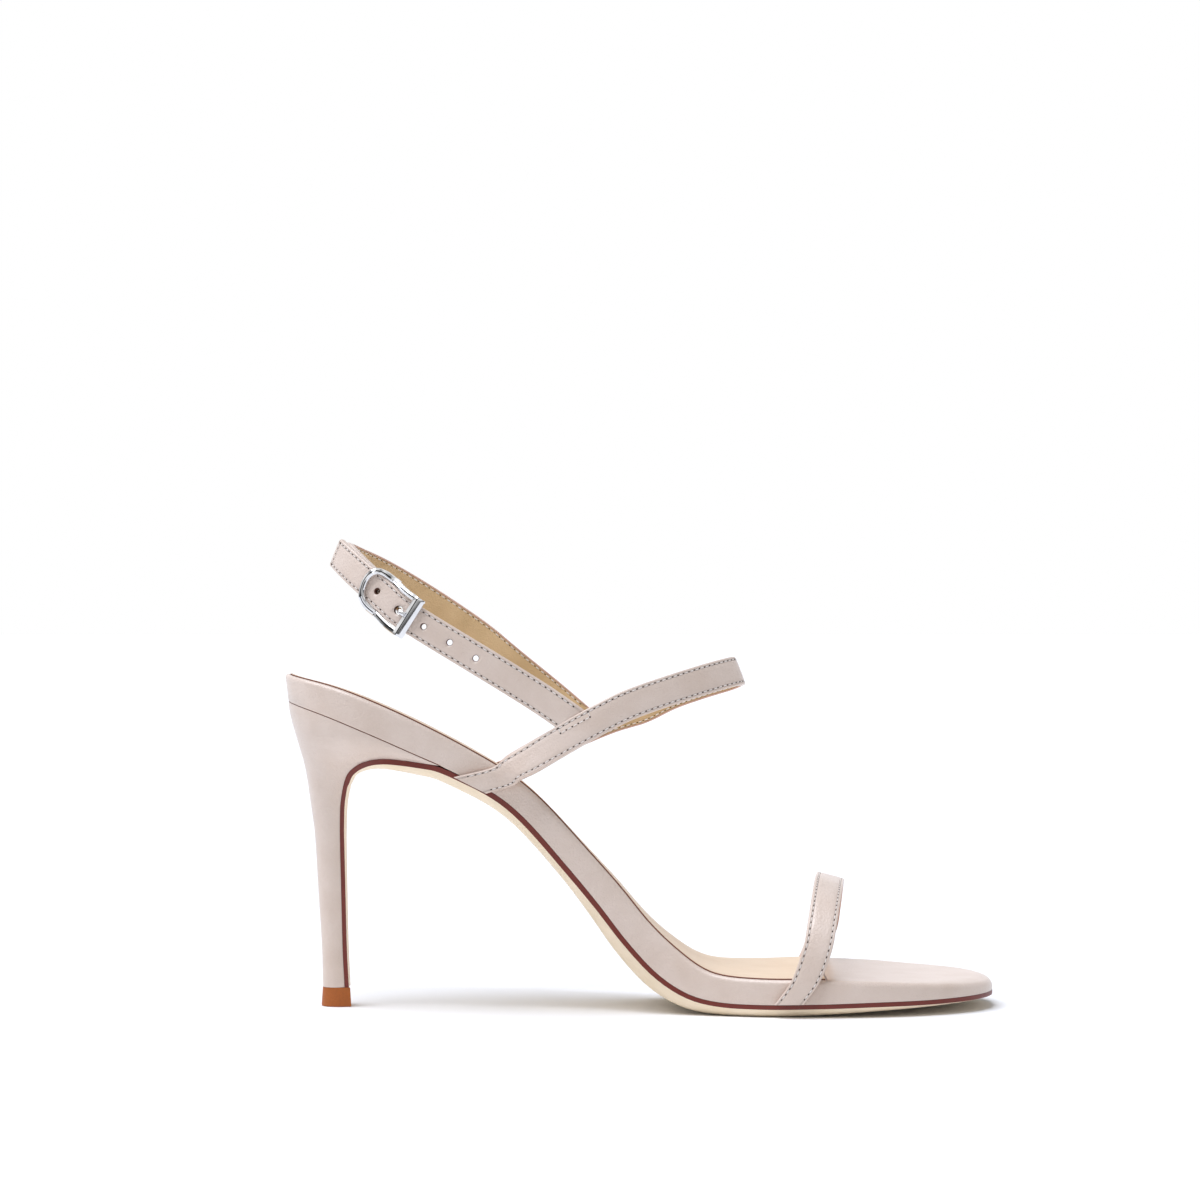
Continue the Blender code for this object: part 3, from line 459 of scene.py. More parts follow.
def end_round(along):
    """How much of the sole's body width is left near its rounded ends, from 0 to 1."""
    share = 1.0
    for from_end, length, power in (
        (along * SOLE_LENGTH, HEEL_ROUND, 2.2),
        ((1 - along) * SOLE_LENGTH, TOE_ROUND, 2.4),
    ):
        if from_end < length:
            share *= max(0.0, 1 - (1 - from_end / length) ** power) ** (1 / power)
    return share


def edge(along, side):
    """The outline's distance from the middle plane: side is -1 for the outer edge and 1 for the inner."""
    return BALL_WIDTH * (sole("centre", along) + side * sole("half", along) * end_round(along))


def stations(first, last):
    """Shares of the sole's length from first to last, closer together in its rounded ends."""
    heel_end, toe_end = HEEL_ROUND / SOLE_LENGTH, TOE_ROUND / SOLE_LENGTH
    middle = 1 - heel_end - toe_end
    count = round(middle * SOLE_LENGTH / STATION)
    shares = [heel_end + middle * k / count for k in range(count + 1)]
    for k in range(1, END_STATIONS):
        turn = 1 - math.cos(k / END_STATIONS * math.pi / 2)
        shares += [heel_end * turn, 1 - toe_end * turn]
    aside = STATION / SOLE_LENGTH / 4
    low = first + (aside if first > 0 else 0)
    high = last - (aside if last < 1 else 0)
    return [first] + [share for share in sorted(shares) if low < share < high] + [last]


def inset_outline(alongs, inset, close_start=True, close_end=True):
    """Both edges of the sole moved inwards, as pairs of (along, y) for each station."""
    sides = []
    for side in (-1, 1):
        raw = [Vector((a * SOLE_LENGTH, edge(a, side))) for a in alongs]
        moved = []
        for k, point in enumerate(raw):
            direction = raw[min(k + 1, len(raw) - 1)] - raw[max(k - 1, 0)]
            if close_start and k == 0 or close_end and k == len(raw) - 1:
                direction = Vector((0, -side if k == 0 else side)) * -1
            direction.normalize()
            inward = Vector((direction.y, -direction.x)) * side
            moved.append(point + inward * inset)
        sides.append(moved)
    for ends, closed in ((0, close_start), (-1, close_end)):
        if closed:
            middle = (sides[0][ends] + sides[1][ends]) / 2
            sides[0][ends] = middle.copy()
            sides[1][ends] = middle.copy()
    return [((low.x / SOLE_LENGTH, low.y), (high.x / SOLE_LENGTH, high.y)) for low, high in zip(*sides)]


def seam_direction(along):
    """The seam line's direction towards the toe."""
    step = 0.002
    return (seam(min(along + step, 1)) - seam(max(along - step, 0))).normalized()


def bend(along, y, height):
    """Lift a point of the flat sole pattern onto the seam line's curve, height above it."""
    slope = seam_direction(along)
    normal = Vector((-slope.z, 0, slope.x))
    backwards = Vector((-math.sin(BACK_LEAN), 0, math.cos(BACK_LEAN)))
    up = backwards.lerp(normal, ease(share_of(along, 0, BACK_LEAN_END))).normalized()
    return seam(min(max(along, 0), 1)) + Vector((0, y, 0)) + up * height


def under(along, y, depth):
    """A point of the outsole, below the seam line."""
    slope = seam_direction(along)
    down = Vector((slope.z, 0, -slope.x))
    return seam(min(along, 1)) + Vector((0, y, 0)) + down * depth


def join_rings(mesh, rings, slots=None, closed=False):
    """Faces from ring to ring. slots has the place in the materials of the faces between two points."""
    rows = [[mesh.verts.new(point) for point in ring] for ring in rings]
    count = len(rows[0])
    for low, high in zip(rows, rows[1:] + (rows[:1] if closed else [])):
        for k in range(count):
            face = mesh.faces.new((low[k], low[(k + 1) % count], high[(k + 1) % count], high[k]))
            face.material_index = slots[k] if slots else 0
    return rows


def skin(name, rings, materials, start_cap=True, end_cap=True, slots=None, cap_slot=0):
    """A closed solid through rings of equal counts, whose points run down one side and up the other.

    A capped end is closed by strips across it. An end with no cap has drawn in to a line.
    """
    mesh = bmesh.new()
    rows = join_rings(mesh, rings, slots)
    for row, capped in ((rows[0], start_cap), (rows[-1], end_cap)):
        last = len(row) - 1
        for k in range(last // 2 if capped else 0):
            corners = (row[k], row[k + 1], row[last - 1 - k], row[last - k])
            face = mesh.faces.new(corners if k + 1 < last - 1 - k else corners[:2] + corners[3:])
            face.material_index = cap_slot
    bmesh.ops.remove_doubles(mesh, verts=mesh.verts, dist=1e-6)
    bmesh.ops.dissolve_degenerate(mesh, edges=mesh.edges, dist=1e-7)
    bmesh.ops.triangulate(mesh, faces=[f for f in mesh.faces if len(f.verts) > 3])
    return add_object(name, mesh, materials)


def tube(name, rings, materials, slots=None, closed=False, sharp=38):
    """A closed solid through rings, with one face over each end unless the last ring meets the first."""
    mesh = bmesh.new()
    rows = join_rings(mesh, rings, slots, closed)
    if not closed:
        mesh.faces.new(rows[0])
        mesh.faces.new(rows[-1])
    return add_object(name, mesh, materials, sharp)


def add_object(name, mesh, materials, sharp=38):
    """Put a mesh in the scene, with its faces outwards, and sharp edges above an angle in degrees."""
    data = bpy.data.meshes.new(name)
    bmesh.ops.recalc_face_normals(mesh, faces=mesh.faces)
    mesh.to_mesh(data)
    mesh.free()
    for material in materials:
        data.materials.append(material)
    data.shade_smooth()
    data.set_sharp_from_angle(angle=math.radians(sharp))
    return put(name, data)


def put(name, data):
    """Put a mesh, a lamp or a camera in the scene."""
    thing = bpy.data.objects.new(name, data)
    bpy.context.scene.collection.objects.link(thing)
    return thing


def board_thickness(along):
    return BOARD * sole("board", along)


def inner_drop(along):
    """How much lower the board's top lies at its inner edge than at its outer edge."""
    full, none = INNER_DROP_FADES
    return INNER_DROP * ease(share_of(along, none, full)) * end_round(along)


def cup_depth(along):
    """How far the seat dips in its middle, from the heel to the waist."""
    return SEAT_CUP * max(0.0, 1 - along / SEAT_CUP_END) * end_round(along)


def layer(name, alongs, profile, materials, painted):
    """A layer on the seam line's curve.

    profile gives, for a share along, the rows of its edge as (inset, height) from the bottom up. The top
    spans the last row, and dips by the cup. The edge up to row painted takes the second material.
    """
    pointed = alongs[-1] == 1
    insets = [inset for inset, _ in profile(alongs[0])]
    outlines = {inset: inset_outline(alongs, inset, close_end=pointed) for inset in insets}
    rings = []
    for k, along in enumerate(alongs):
        rows = profile(along)
        drop, wall = inner_drop(along), 0.7 * board_thickness(along)
        left = [(outlines[inset][k][0], height) for inset, height in rows]
        right = [(outlines[inset][k][1], height - drop * min(height / wall, 1)) for inset, height in rows]
        across = []
        (low, outer_top), (high, inner_top) = left[-1], right[-1]
        for step in range(1, ACROSS_TOP):
            share = step / ACROSS_TOP
            point = tuple(a + (b - a) * share for a, b in zip(low, high))
            top = outer_top + (inner_top - outer_top) * share
            across.append((point, top - cup_depth(along) * math.sin(math.pi * share)))
        rings.append([bend(at, y, height) for (at, y), height in left + across + right[::-1]])
    count = len(rings[0])
    slots = [int(k < painted or count - 2 - painted < k < count - 1) for k in range(count)]
    return skin(name, rings, materials, start_cap=False, end_cap=not pointed, slots=slots, cap_slot=1)


def heel_base():
    return TIP_HEIGHT + SEAM_GAP


def heel_column(name, share):
    """Read the heel's table at a share of the way through its rows, from the tip to the seat."""
    rows = [(k / (len(HEEL_ROWS) - 1),) + row for k, row in enumerate(HEEL_ROWS)]
    return smooth(rows, ("share",) + HEEL_COLUMNS, name, share)


def heel_back(share):
    start = -TIP_LENGTH / 2
    x = start + (-HEEL_OVERHANG - start) * heel_column("back", share)
    z = heel_base() + (HEEL_RISE - heel_base() - SEAM_GAP) * heel_column("back_up", share)
    return Vector((x, 0, z))


def heel_front(share):
    start = TIP_LENGTH / 2 - BREAST_FLAP - CLEARANCE
    lip = seam(LIP_ALONG)
    x = start + (lip.x - start) * heel_column("front", share)
    z = heel_base() + (lip.z - heel_base() - SEAM_GAP) * heel_column("front_up", share)
    return Vector((x, 0, z))


def stem_width(forward):
    """Half the width of the heel's stem, as a share, from its back (0) to its front (1)."""
    if forward < STEM_WIDEST:
        return max(0.0, 1 - (1 - forward / STEM_WIDEST) ** 2) ** 0.5
    return 1 - 0.12 * ((forward - STEM_WIDEST) / (1 - STEM_WIDEST)) ** 2


def heel_half_width(share, forward, side):
    seat_edge = edge(LIP_ALONG * forward, side)
    seat_half = BALL_WIDTH * sole("half", LIP_ALONG)
    width = heel_column("width", share)
    seat = heel_column("seat", share)
    half = TIP_WIDTH / 2 + (seat_half - TIP_WIDTH / 2) * width
    return half * ((1 - seat) * side * stem_width(forward) + seat * seat_edge / seat_half)


def wall_point(along, height, side, thickness=STRAP):
    """The middle of a strap that lies against the platform's wall, height above the seam."""
    return bend(along, edge(along, side) + side * (STRAP_STAND_OFF + thickness / 2), height)


def wall_direction(along, side):
    """Along the platform's edge towards the heel."""
    step = 0.01
    back, front = seam(along - step), seam(along + step)
    back.y, front.y = edge(along - step, side), edge(along + step, side)
    return (back - front).normalized()


def from_rows(rows, spread, top):
    """A strap's points and the directions across it, from its table."""
    points, across = [], []
    for reach, side, up, tilt, lean in rows:
        points.append(Vector((reach * INSTEP_REACH - HEEL_OVERHANG, side * spread, up * top)))
        back, inward = math.radians(tilt), math.radians(lean)
        upright = math.cos(inward)
        across.append(Vector((-math.sin(back) * upright, math.sin(inward), math.cos(back) * upright)))
    return points, across


def smoothed(values, passes):
    """Even out a row of vectors without moving its ends."""
    for _ in range(passes):
        middle = [(a + 2 * b + c) / 4 for a, b, c in zip(values, values[1:], values[2:])]
        values = [values[0]] + middle + [values[-1]]
    return values


class StrapLine:
    """A strap's middle line. Places on it are told by length along, across and outwards, in metres."""

    def __init__(self, points, across, step=STRAP_STEP):
        rough = sum((b - a).length for a, b in zip(points, points[1:]))
        self.points, places = curve_through(points, round(rough / step))
        self.across = smoothed([read_at(across, place) for place in places], STRAP_PASSES)
        self.lines = tangents(self.points)
        self.lengths = [0.0]
        for a, b in zip(self.points, self.points[1:]):
            self.lengths.append(self.lengths[-1] + (b - a).length)
        self.length = self.lengths[-1]

    def axes(self, along):
        """The middle at a length along, and the directions forward, across and outwards.

        The direction across is slanted where a strap is cut at a slant.
        """
        low = min(max(bisect_right(self.lengths, along) - 1, 0), len(self.lengths) - 2)
        place = low + (along - self.lengths[low]) / (self.lengths[low + 1] - self.lengths[low])
        centre, across, line = (read_at(values, place) for values in (self.points, self.across, self.lines))
        line = line.normalized()
        return centre, line, across, line.cross(across).normalized()

    def at(self, along, aside, out):
        centre, _, across, outward = self.axes(along)
        return centre + across * aside + outward * out

    def matrix(self, along, aside, out):
        centre, line, across, outward = self.axes(along)
        square = outward.cross(line)
        turned = Matrix((line, square, outward)).transposed().to_4x4()
        return Matrix.Translation(centre + across * aside + outward * out) @ turned


def mirrored(half, middle=()):
    """A whole section from its first half and what lies between the halves, as (aside, out) pairs."""
    return half + list(middle) + [(-aside, out) for aside, out in reversed(half)]


def leather_section(width):
    """The strap's cover: turned over its edges, a little crowned, with a trough for each row of stitches."""
    half, top, low = width / 2, STRAP / 2, -STRAP / 2
    turned = half - TURNED_EDGE
    section = [(turned, low + LINING), (turned, low + LINING_GAP)]
    section += [(half - 0.2 * MM, low), (half, low + 0.25 * MM)]
    for k in range(5):
        turn = math.pi / 2 * k / 5
        aside = half - EDGE_ROUND * (1 - math.cos(turn))
        section.append((aside, top - EDGE_ROUND * (1 - math.sin(turn))))
    row = half - STITCH_ROW
    section += [(row + GROOVE_WIDTH / 2, top), (row + GROOVE_WIDTH / 6, top - GROOVE)]
    section += [(row - GROOVE_WIDTH / 6, top - GROOVE), (row - GROOVE_WIDTH / 2, top + 0.2 * CROWN)]
    section.append((0.45 * half, top + 0.8 * CROWN))
    return mirrored(section, [(0, top + CROWN)])


def lining_section(width):
    half, low = width / 2 - TURNED_EDGE - LINING_GAP, -STRAP / 2
    row = width / 2 - STITCH_ROW
    section = [(half, low + LINING - LINING_GAP), (half, low + 0.15 * MM), (half - 0.1 * MM, low)]
    section += [(row + GROOVE_WIDTH / 3, low), (row, low + GROOVE), (row - GROOVE_WIDTH / 2, low)]
    return mirrored(section)


def band(name, line, section, materials, squeeze=None, slots=None):
    """Sweep a section along a strap line. squeeze(length along) gives how thick it is, from 0 to 1."""
    rings = []
    for along in line.lengths:
        thin = squeeze(along) if squeeze else 1.0
        rings.append([line.at(along, aside, out * thin) for aside, out in section])
    return skin(name, rings, materials, slots=slots)


def leather(name, colour, deep, roughness, grain, cell, coat=0.0):
    """Leather: cells of grain, soft unevenness, a little change of colour, and gloss that varies.

    grain is the depth of the bump and cell the size of the grain's cells, both in metres.
    """
    material, tree, shader, place = new_material(name)
    cells = add_node(tree, "TexVoronoi", {"Scale": 1 / cell, "Vector": place})
    cells.feature = "SMOOTH_F1"
    fine = noise(tree, place, 0.6 / cell)
    height = calculate(tree, "MULTIPLY_ADD", fine, 0.7, cells.outputs["Distance"])
    broad = noise(tree, place, 90, 3)
    feed(tree, shader, {
        "Base Color": ramp(tree, broad, ((0.30, deep), (0.62, colour))),
        "Roughness": span(tree, fine, roughness - 0.06, roughness + 0.08),
        "Normal": bump(tree, height, grain),
        "Coat Weight": coat,
        "Coat Roughness": 0.22,
    })
    return material


def plain(name, colour, roughness, metallic=0.0, uneven=0.04, scale=900, depth=0.01 * MM, tint=0.9):
    """A simple material whose gloss and surface vary a little."""
    material, tree, shader, place = new_material(name)
    fine = noise(tree, place, scale)
    low = tuple(channel * tint for channel in colour)
    feed(tree, shader, {
        "Base Color": ramp(tree, fine, ((0.35, low), (0.6, colour))),
        "Roughness": span(tree, fine, roughness - uneven, roughness + uneven),
        "Normal": bump(tree, fine, depth),
        "Metallic": metallic,
    })
    return material


def new_material(name):
    """A material, its nodes, its shader and the place on the piece that its textures follow."""
    material = bpy.data.materials.new(name)
    material.use_nodes = True
    tree = material.node_tree
    place = add_node(tree, "TexCoord").outputs["Object"]
    return material, tree, tree.nodes["Principled BSDF"], place


def feed(tree, node, inputs):
    """Give a node's inputs, by name or place, plain values or outputs of other nodes."""
    for name, value in inputs.items():
        if isinstance(value, bpy.types.NodeSocket):
            tree.links.new(value, node.inputs[name])
        else:
            node.inputs[name].default_value = value


def add_node(tree, kind, inputs=None):
    node = tree.nodes.new("ShaderNode" + kind)
    feed(tree, node, inputs or {})
    return node


def noise(tree, place, scale, detail=2):
    return add_node(tree, "TexNoise", {"Vector": place, "Scale": scale, "Detail": detail}).outputs["Fac"]


def bump(tree, height, depth):
    return add_node(tree, "Bump", {"Height": height, "Distance": depth, "Strength": 1.0}).outputs["Normal"]


def ramp(tree, value, stops):
    """Colours along a value, from stops of (position, colour)."""
    node = add_node(tree, "ValToRGB", {"Fac": value})
    elements = node.color_ramp.elements
    for element, (position, _) in zip(elements, (stops[0], stops[-1])):
        element.position = position
    for position, _ in stops[1:-1]:
        elements.new(position)
    for element, (_, colour) in zip(elements, stops):
        element.color = (*colour, 1)
    return node.outputs["Color"]


def span(tree, value, low, high, start=0.0, end=1.0):
    """Carry a value from between start and end to between low and high."""
    limits = {"From Min": start, "From Max": end, "To Min": low, "To Max": high}
    return add_node(tree, "MapRange", {"Value": value, **limits}).outputs["Result"]


def calculate(tree, operation, *values):
    """Work out a sum from numbers and outputs of nodes."""
    node = add_node(tree, "Math", dict(enumerate(values)))
    node.operation = operation
    return node.outputs[0]


def choose(tree, factor, low, high):
    """Mix two colours, each an output of a node or a plain value."""
    mix = add_node(tree, "Mix")
    mix.data_type = "RGBA"
    first, second = (k for k, socket in enumerate(mix.inputs) if socket.type == "RGBA")
    feed(tree, mix, {"Factor": factor, first: low, second: high})
    return next(socket for socket in mix.outputs if socket.type == "RGBA")


def platform(nude, seam_shadow_paint):
    """The covered board, with a shallow seat for the sock, and a top that rounds over in front of it."""
    seat_end = SOCK_END + 2 * CLEARANCE / SOLE_LENGTH
    alongs = stations(0, seat_end) + stations(seat_end + CLEARANCE / SOLE_LENGTH, 1)

    def profile(along):
        top = board_thickness(along)
        seat = SOCK - SOCK_RAISE + CLEARANCE if along <= seat_end else 0
        eased = TOE_EASE * (max(0.0, along - seat_end) / (1 - seat_end)) ** 2

        def top_at(inset):
            return top - eased * (1 - inset / TOE_EASE_WIDTH) ** 1.5

        wall = top_at(0) - BOARD_EDGE
        # The chamfer takes the painted seam shadow: broad under the heel's seat, narrow above the outsole
        chamfer = SEAM_CHAMFER if along < LIP_ALONG else 0.1 * SEAM_CHAMFER
        rows = [(SEAM_CHAMFER, 0.0), (0.0, chamfer), (0.0, 0.5 * wall), (0.0, wall)]
        for k in range(1, 7):
            turn = math.pi / 2 * k / 6
            inset = 0.85 * BOARD_EDGE * (1 - math.cos(turn))
            rows.append((inset, top_at(inset) - BOARD_EDGE * (1 - math.sin(turn))))
        seat_edge = SOCK_INSET - CLEARANCE
        for share in (0, 0.25, 0.5, 0.75, 1):
            inset = seat_edge + (TOE_EASE_WIDTH - seat_edge) * share
            rows.append((inset, top_at(inset) - seat))
        return rows

    return layer("platform_cover", alongs, profile, [nude, seam_shadow_paint], 1)


def sock(tan, painted):
    """The leather sock, whose painted edge stands a little above the platform's rim."""

    def profile(along):
        bottom = board_thickness(along) - SOCK + SOCK_RAISE
        return (
            (SOCK_INSET, bottom),
            (SOCK_INSET, bottom + 0.5 * SOCK),
            (SOCK_INSET, bottom + 0.85 * SOCK),
            (SOCK_INSET + 0.4 * SOCK_PAINT, bottom + 0.97 * SOCK),
            (SOCK_INSET + SOCK_PAINT, bottom + SOCK),
        )

    return layer("sock_leather", stations(0, SOCK_END), profile, [tan, painted], 3)


def heel(material):
    turns = [k / HEEL_SIDE_POINTS * math.pi / 2 for k in range(HEEL_SIDE_POINTS + 1)]
    forwards = [1 - (1 - STEM_WIDEST) * k / 6 for k in range(6)]
    forwards += [STEM_WIDEST * (1 - math.cos(turn)) for turn in reversed(turns)]
    rings = []
    for k in range(HEEL_STATIONS + 1):
        share = k / HEEL_STATIONS
        back, front = heel_back(share), heel_front(share)
        seat = heel_column("seat", share)
        ring = []
        for side, order in ((-1, forwards), (1, forwards[-2::-1])):
            for forward in order:
                point = back.lerp(front, forward)
                chord = seam(0).lerp(seam(LIP_ALONG), forward)
                point.z += seat**3 * (seam(LIP_ALONG * forward).z - chord.z)
                point.y = heel_half_width(share, forward, side)
                ring.append(point)
        rings.append(ring)
    return skin("heel_cover", rings, [material])


def top_piece(material):
    """The heel tip, with a worn rounding where it meets the floor."""
    rings = []
    turns = [k / 24 * math.pi for k in range(25)]
    worn = ((0, TIP_FLARE - 0.35 * MM), (0.12 * MM, TIP_FLARE), (0.5 * MM, TIP_FLARE * 1.2), (TIP_HEIGHT, 0))
    for z, grow in worn:
        half_length = TIP_LENGTH / 2 + grow
        half_width = TIP_WIDTH / 2 + grow
        ring = []
        for side, order in ((-1, turns), (1, turns[-2:0:-1])):
            for turn in order:
                forward = STEM_WIDEST * (0.5 + 0.5 * math.cos(turn)) if turn else 1.0
                across = side * half_width * stem_width(forward)
                ring.append(Vector((half_length * (2 * forward - 1), across, z)))
        rings.append(ring)
    return skin("heel_tip", rings, [material])


def tread_rows(thick, bevel, broad):
    """How far in and how deep each row of the outsole's edge lies, from the seam to the flat underside.

    The painted edge is BROADER times as deep where broad is 1.
    """
    edge_depth = min(TREAD_EDGE * (1 + (BROADER - 1) * broad), 0.92 * thick)
    rows = [(0.0, SEAM_GAP), (0.0, edge_depth)]
    for inset, share in EDGE_CURVE:
        rows.append((inset * bevel, edge_depth + share * (thick - edge_depth)))
    return rows


def outsole(edge_material, under_material):
    """The outsole runs from the heel tip up the breast, along the arch and under the forefoot."""
    rings = []
    breast = [heel_front(k / HEEL_STATIONS) for k in range(HEEL_STATIONS + 1)]
    full = TREAD * sole("tread", LIP_ALONG)
    for k, line in enumerate(tangents(breast)[:-1]):
        share = k / HEEL_STATIONS
        low, high = (heel_half_width(share, 1.0, side) for side in (-1, 1))
        thick = BREAST_FLAP + (full - BREAST_FLAP) * max(0.0, heel_column("front", share)) ** 0.5
        down = Vector((line.z, 0, -line.x))
        rows = tread_rows(thick, min(TREAD_BEVEL, 0.4 * high), 1)
        half = [breast[k] + Vector((0, low + inset, 0)) + down * depth for inset, depth in rows]
        other = [breast[k] + Vector((0, high - inset, 0)) + down * depth for inset, depth in rows]
        rings.append(half + other[::-1])
    alongs = stations(LIP_ALONG, 1)
    bevels = [0.0] + [inset * TREAD_BEVEL for inset, _ in EDGE_CURVE]
    outlines = {bevel: inset_outline(alongs, bevel, close_start=False) for bevel in bevels}
    for k, along in enumerate(alongs):
        rows = tread_rows(TREAD * sole("tread", along), TREAD_BEVEL, share_of(along, *BROAD_FADES))
        half, other = ([under(*outlines[inset][k][i], depth) for inset, depth in rows] for i in (0, 1))
        rings.append(half + other[::-1])
    for _ in range(LIP_SOFTENING):
        for k in range(HEEL_STATIONS - LIP_SPREAD, HEEL_STATIONS + LIP_SPREAD + 1):
            pairs = zip(rings[k - 1], rings[k], rings[k + 1])
            rings[k] = [(before + 2 * here + after) / 4 for before, here, after in pairs]
    for point in (point for ring in rings for point in ring):
        point.z = max(point.z, 0)
    slots = [1] * len(rings[0])
    slots[0] = slots[-2] = slots[-1] = 0
    return skin("outsole_tread", rings, [edge_material, under_material], end_cap=False, slots=slots)


def toe_strap_line():
    """Up the outer side of the platform, over the toes and down the inner side."""
    outer, inner = TOE_FEET
    start = wall_point(outer, CLEARANCE, -1)
    end = wall_point(inner, CLEARANCE, 1)
    rise = board_thickness(outer)
    outer_rim, inner_rim = (foot + TOE_FEET_LEAN * rise / SOLE_LENGTH for foot in TOE_FEET)
    low, high = wall_point(outer_rim, rise, -1), wall_point(inner_rim, rise, 1)
    points = [start, low]
    across = [wall_direction(outer, -1), wall_direction(outer_rim, -1)]
    arch = 11
    for k in range(1, arch):
        turn = math.pi * (k / arch - 0.5)
        sweep = math.copysign(abs(math.sin(turn)) ** 0.8, turn)
        climb = math.cos(turn) ** 0.85
        foot = low.lerp(high, 0.5 + 0.5 * sweep)
        lean = climb**0.55 * (seam(TOE_TOP).x - (low.x + high.x) / 2)
        points.append(foot + Vector((lean, 0, climb * (TOE_ARCH - STRAP / 2 - foot.z))))
        nearer = wall_direction(outer_rim, -1) if k < arch / 2 else wall_direction(inner_rim, 1)
        across.append(nearer.lerp(Vector((-1, 0, TOE_PITCH)).normalized(), climb))
    return StrapLine(points + [high, end], across + [wall_direction(inner_rim, 1), wall_direction(inner, 1)])


def instep_line():
    """From the outer side of the platform over the instep to the inner side."""
    points, across = from_rows(INSTEP_ROWS, INSTEP_SPREAD, INSTEP_TOP)
    upright = Vector((across[0].x, 0, across[0].z))
    for side, foot in zip((-1, 1), INSTEP_FEET):
        raised = foot + INSTEP_FEET_RUN
        bottom = wall_point(foot, -FOOT_LAP, side)
        middle = wall_point(raised, 0.6 * BOARD, side)
        flat = 1.2 * wall_direction(foot, side)
        slanted = wall_direction(raised, side).lerp(upright, 0.3)
        if side < 0:
            points = [bottom, middle] + points
            across = [flat, slanted] + across
        else:
            points += [middle, bottom]
            across += [slanted, flat]
    return StrapLine(points, across)


def buckle_strap_line():
    """From the tip at the back of the ankle to the instep strap, so that its cover faces outwards."""
    return StrapLine(*from_rows(BUCKLE_STRAP_ROWS[::-1], ANKLE_SPREAD, ANKLE_TOP))


def back_strap_line(buckled):
    """Round the back of the ankle, then inside the buckle strap and round the buckle's centre bar."""
    points, across = from_rows(BACK_STRAP_ROWS, ANKLE_SPREAD, ANKLE_TOP)
    under_strap = -(STRAP + CLEARANCE)
    pairs = 4
    for k in range(pairs):
        ahead = BUCKLE_FROM_TIP - UNDER_STRAP_FROM + (UNDER_STRAP_FROM - UNDER_STRAP_TO) * k / (pairs - 1)
        points.append(buckled.at(ahead, 0, under_strap))
        across.append(buckled.axes(ahead)[2])
    points, places = curve_through(points, FOLD_POINTS)
    across = [read_at(across, place) for place in places]
    flat = buckled.matrix(BUCKLE_FROM_TIP, 0, 0)
    fold = [(-1.9 * FOLD_RADIUS, under_strap + CLEARANCE / 3), (-0.7 * FOLD_RADIUS, FOLD_OUT)]
    for k in range(FOLD_TURNS + 1):
        turn = math.pi * (0.5 - k / FOLD_TURNS)
        fold.append((FOLD_RADIUS * math.cos(turn), BAR_OUT + FOLD_RADIUS * math.sin(turn)))
    inner = under_strap - STRAP / 2 - CLEARANCE - FOLD / 2
    fold.append((-1.5 * FOLD_RADIUS, 0.6 * (BAR_OUT - FOLD_RADIUS) + 0.4 * inner))
    fold += [(-0.6 * FOLD_RETURN, inner), (-FOLD_RETURN, inner)]
    for ahead, out in fold:
        bent = ahead < -2 * FOLD_RADIUS
        points.append(buckled.at(BUCKLE_FROM_TIP + ahead, 0, out) if bent else flat @ Vector((ahead, 0, out)))
        across.append(buckled.axes(BUCKLE_FROM_TIP)[2])
    return StrapLine(points, across, STRAP_STEP / 2)


def length_at(line, x):
    """How far along a strap its middle first passes x."""
    for point, length in zip(line.points, line.lengths):
        if point.x >= x:
            return length
    return line.length


def combine(thing, other, operation="DIFFERENCE", use_self=False):
    """Cut another closed mesh out of a piece, or join it on, and drop it."""
    change = thing.modifiers.new("combine", "BOOLEAN")
    change.operation = operation
    change.object = other
    change.solver = "EXACT"
    change.use_self = use_self
    change.material_mode = "TRANSFER"
    bpy.context.view_layer.update()
    data = bpy.data.meshes.new_from_object(thing.evaluated_get(bpy.context.evaluated_depsgraph_get()))
    thing.modifiers.clear()
    thing.data = data
    bpy.data.objects.remove(other)


def rods(places, length, material, segments=28):
    """Closed cylinders, each from a matrix and a radius, as one piece."""
    mesh = bmesh.new()
    for place, radius in places:
        bmesh.ops.create_cone(
            mesh, cap_ends=True, segments=segments, radius1=radius, radius2=radius, depth=length, matrix=place
        )
    return add_object("rods", mesh, [material])


def blocks(places, material):
    """Boxes, each from a matrix and its lengths along the three axes, as one piece."""
    mesh = bmesh.new()
    for place, lengths in places:
        bmesh.ops.create_cube(mesh, size=1, matrix=place @ Matrix.Diagonal((*lengths, 1)))
    return add_object("blocks", mesh, [material])


def strap(name, line, width, skins, rows, squeeze=None, cutter=None):
    """A strap's cover and lining, each cut by the cutter, and its stitches along rows."""
    section = leather_section(width)
    slots = [0] * len(section)
    # The turned edges take their own colour, and the stitch channels a darker nude as painted shade
    for faces, slot in ((TURNED_FACES, 1), (CHANNEL_FACES, 2)):
        for face in faces:
            slots[face] = slots[len(section) - 2 - face] = slot
    covers = [skins["cover"], skins["turned"], skins["channel"]]
    pieces = [
        band(name + "_cover", line, section, covers, squeeze, slots),
        band(name + "_lining", line, lining_section(width), [skins["lining"]], squeeze),
    ]
    if cutter:
        for piece in pieces:
            combine(piece, cutter())
    return pieces + stitches(name, line, rows, skins["thread"], skins["needle"])


def edge_rows(width, start, end, sides=(1, -1)):
    """Rows of stitches near both edges: sides has 1 for the cover and -1 for the lining."""
    rows = []
    for side in sides:
        for edge_side in (-1, 1):
            aside = edge_side * (width / 2 - STITCH_ROW)
            rows.append(((start, aside), (end, aside), side * (STRAP / 2 - GROOVE)))
    return rows


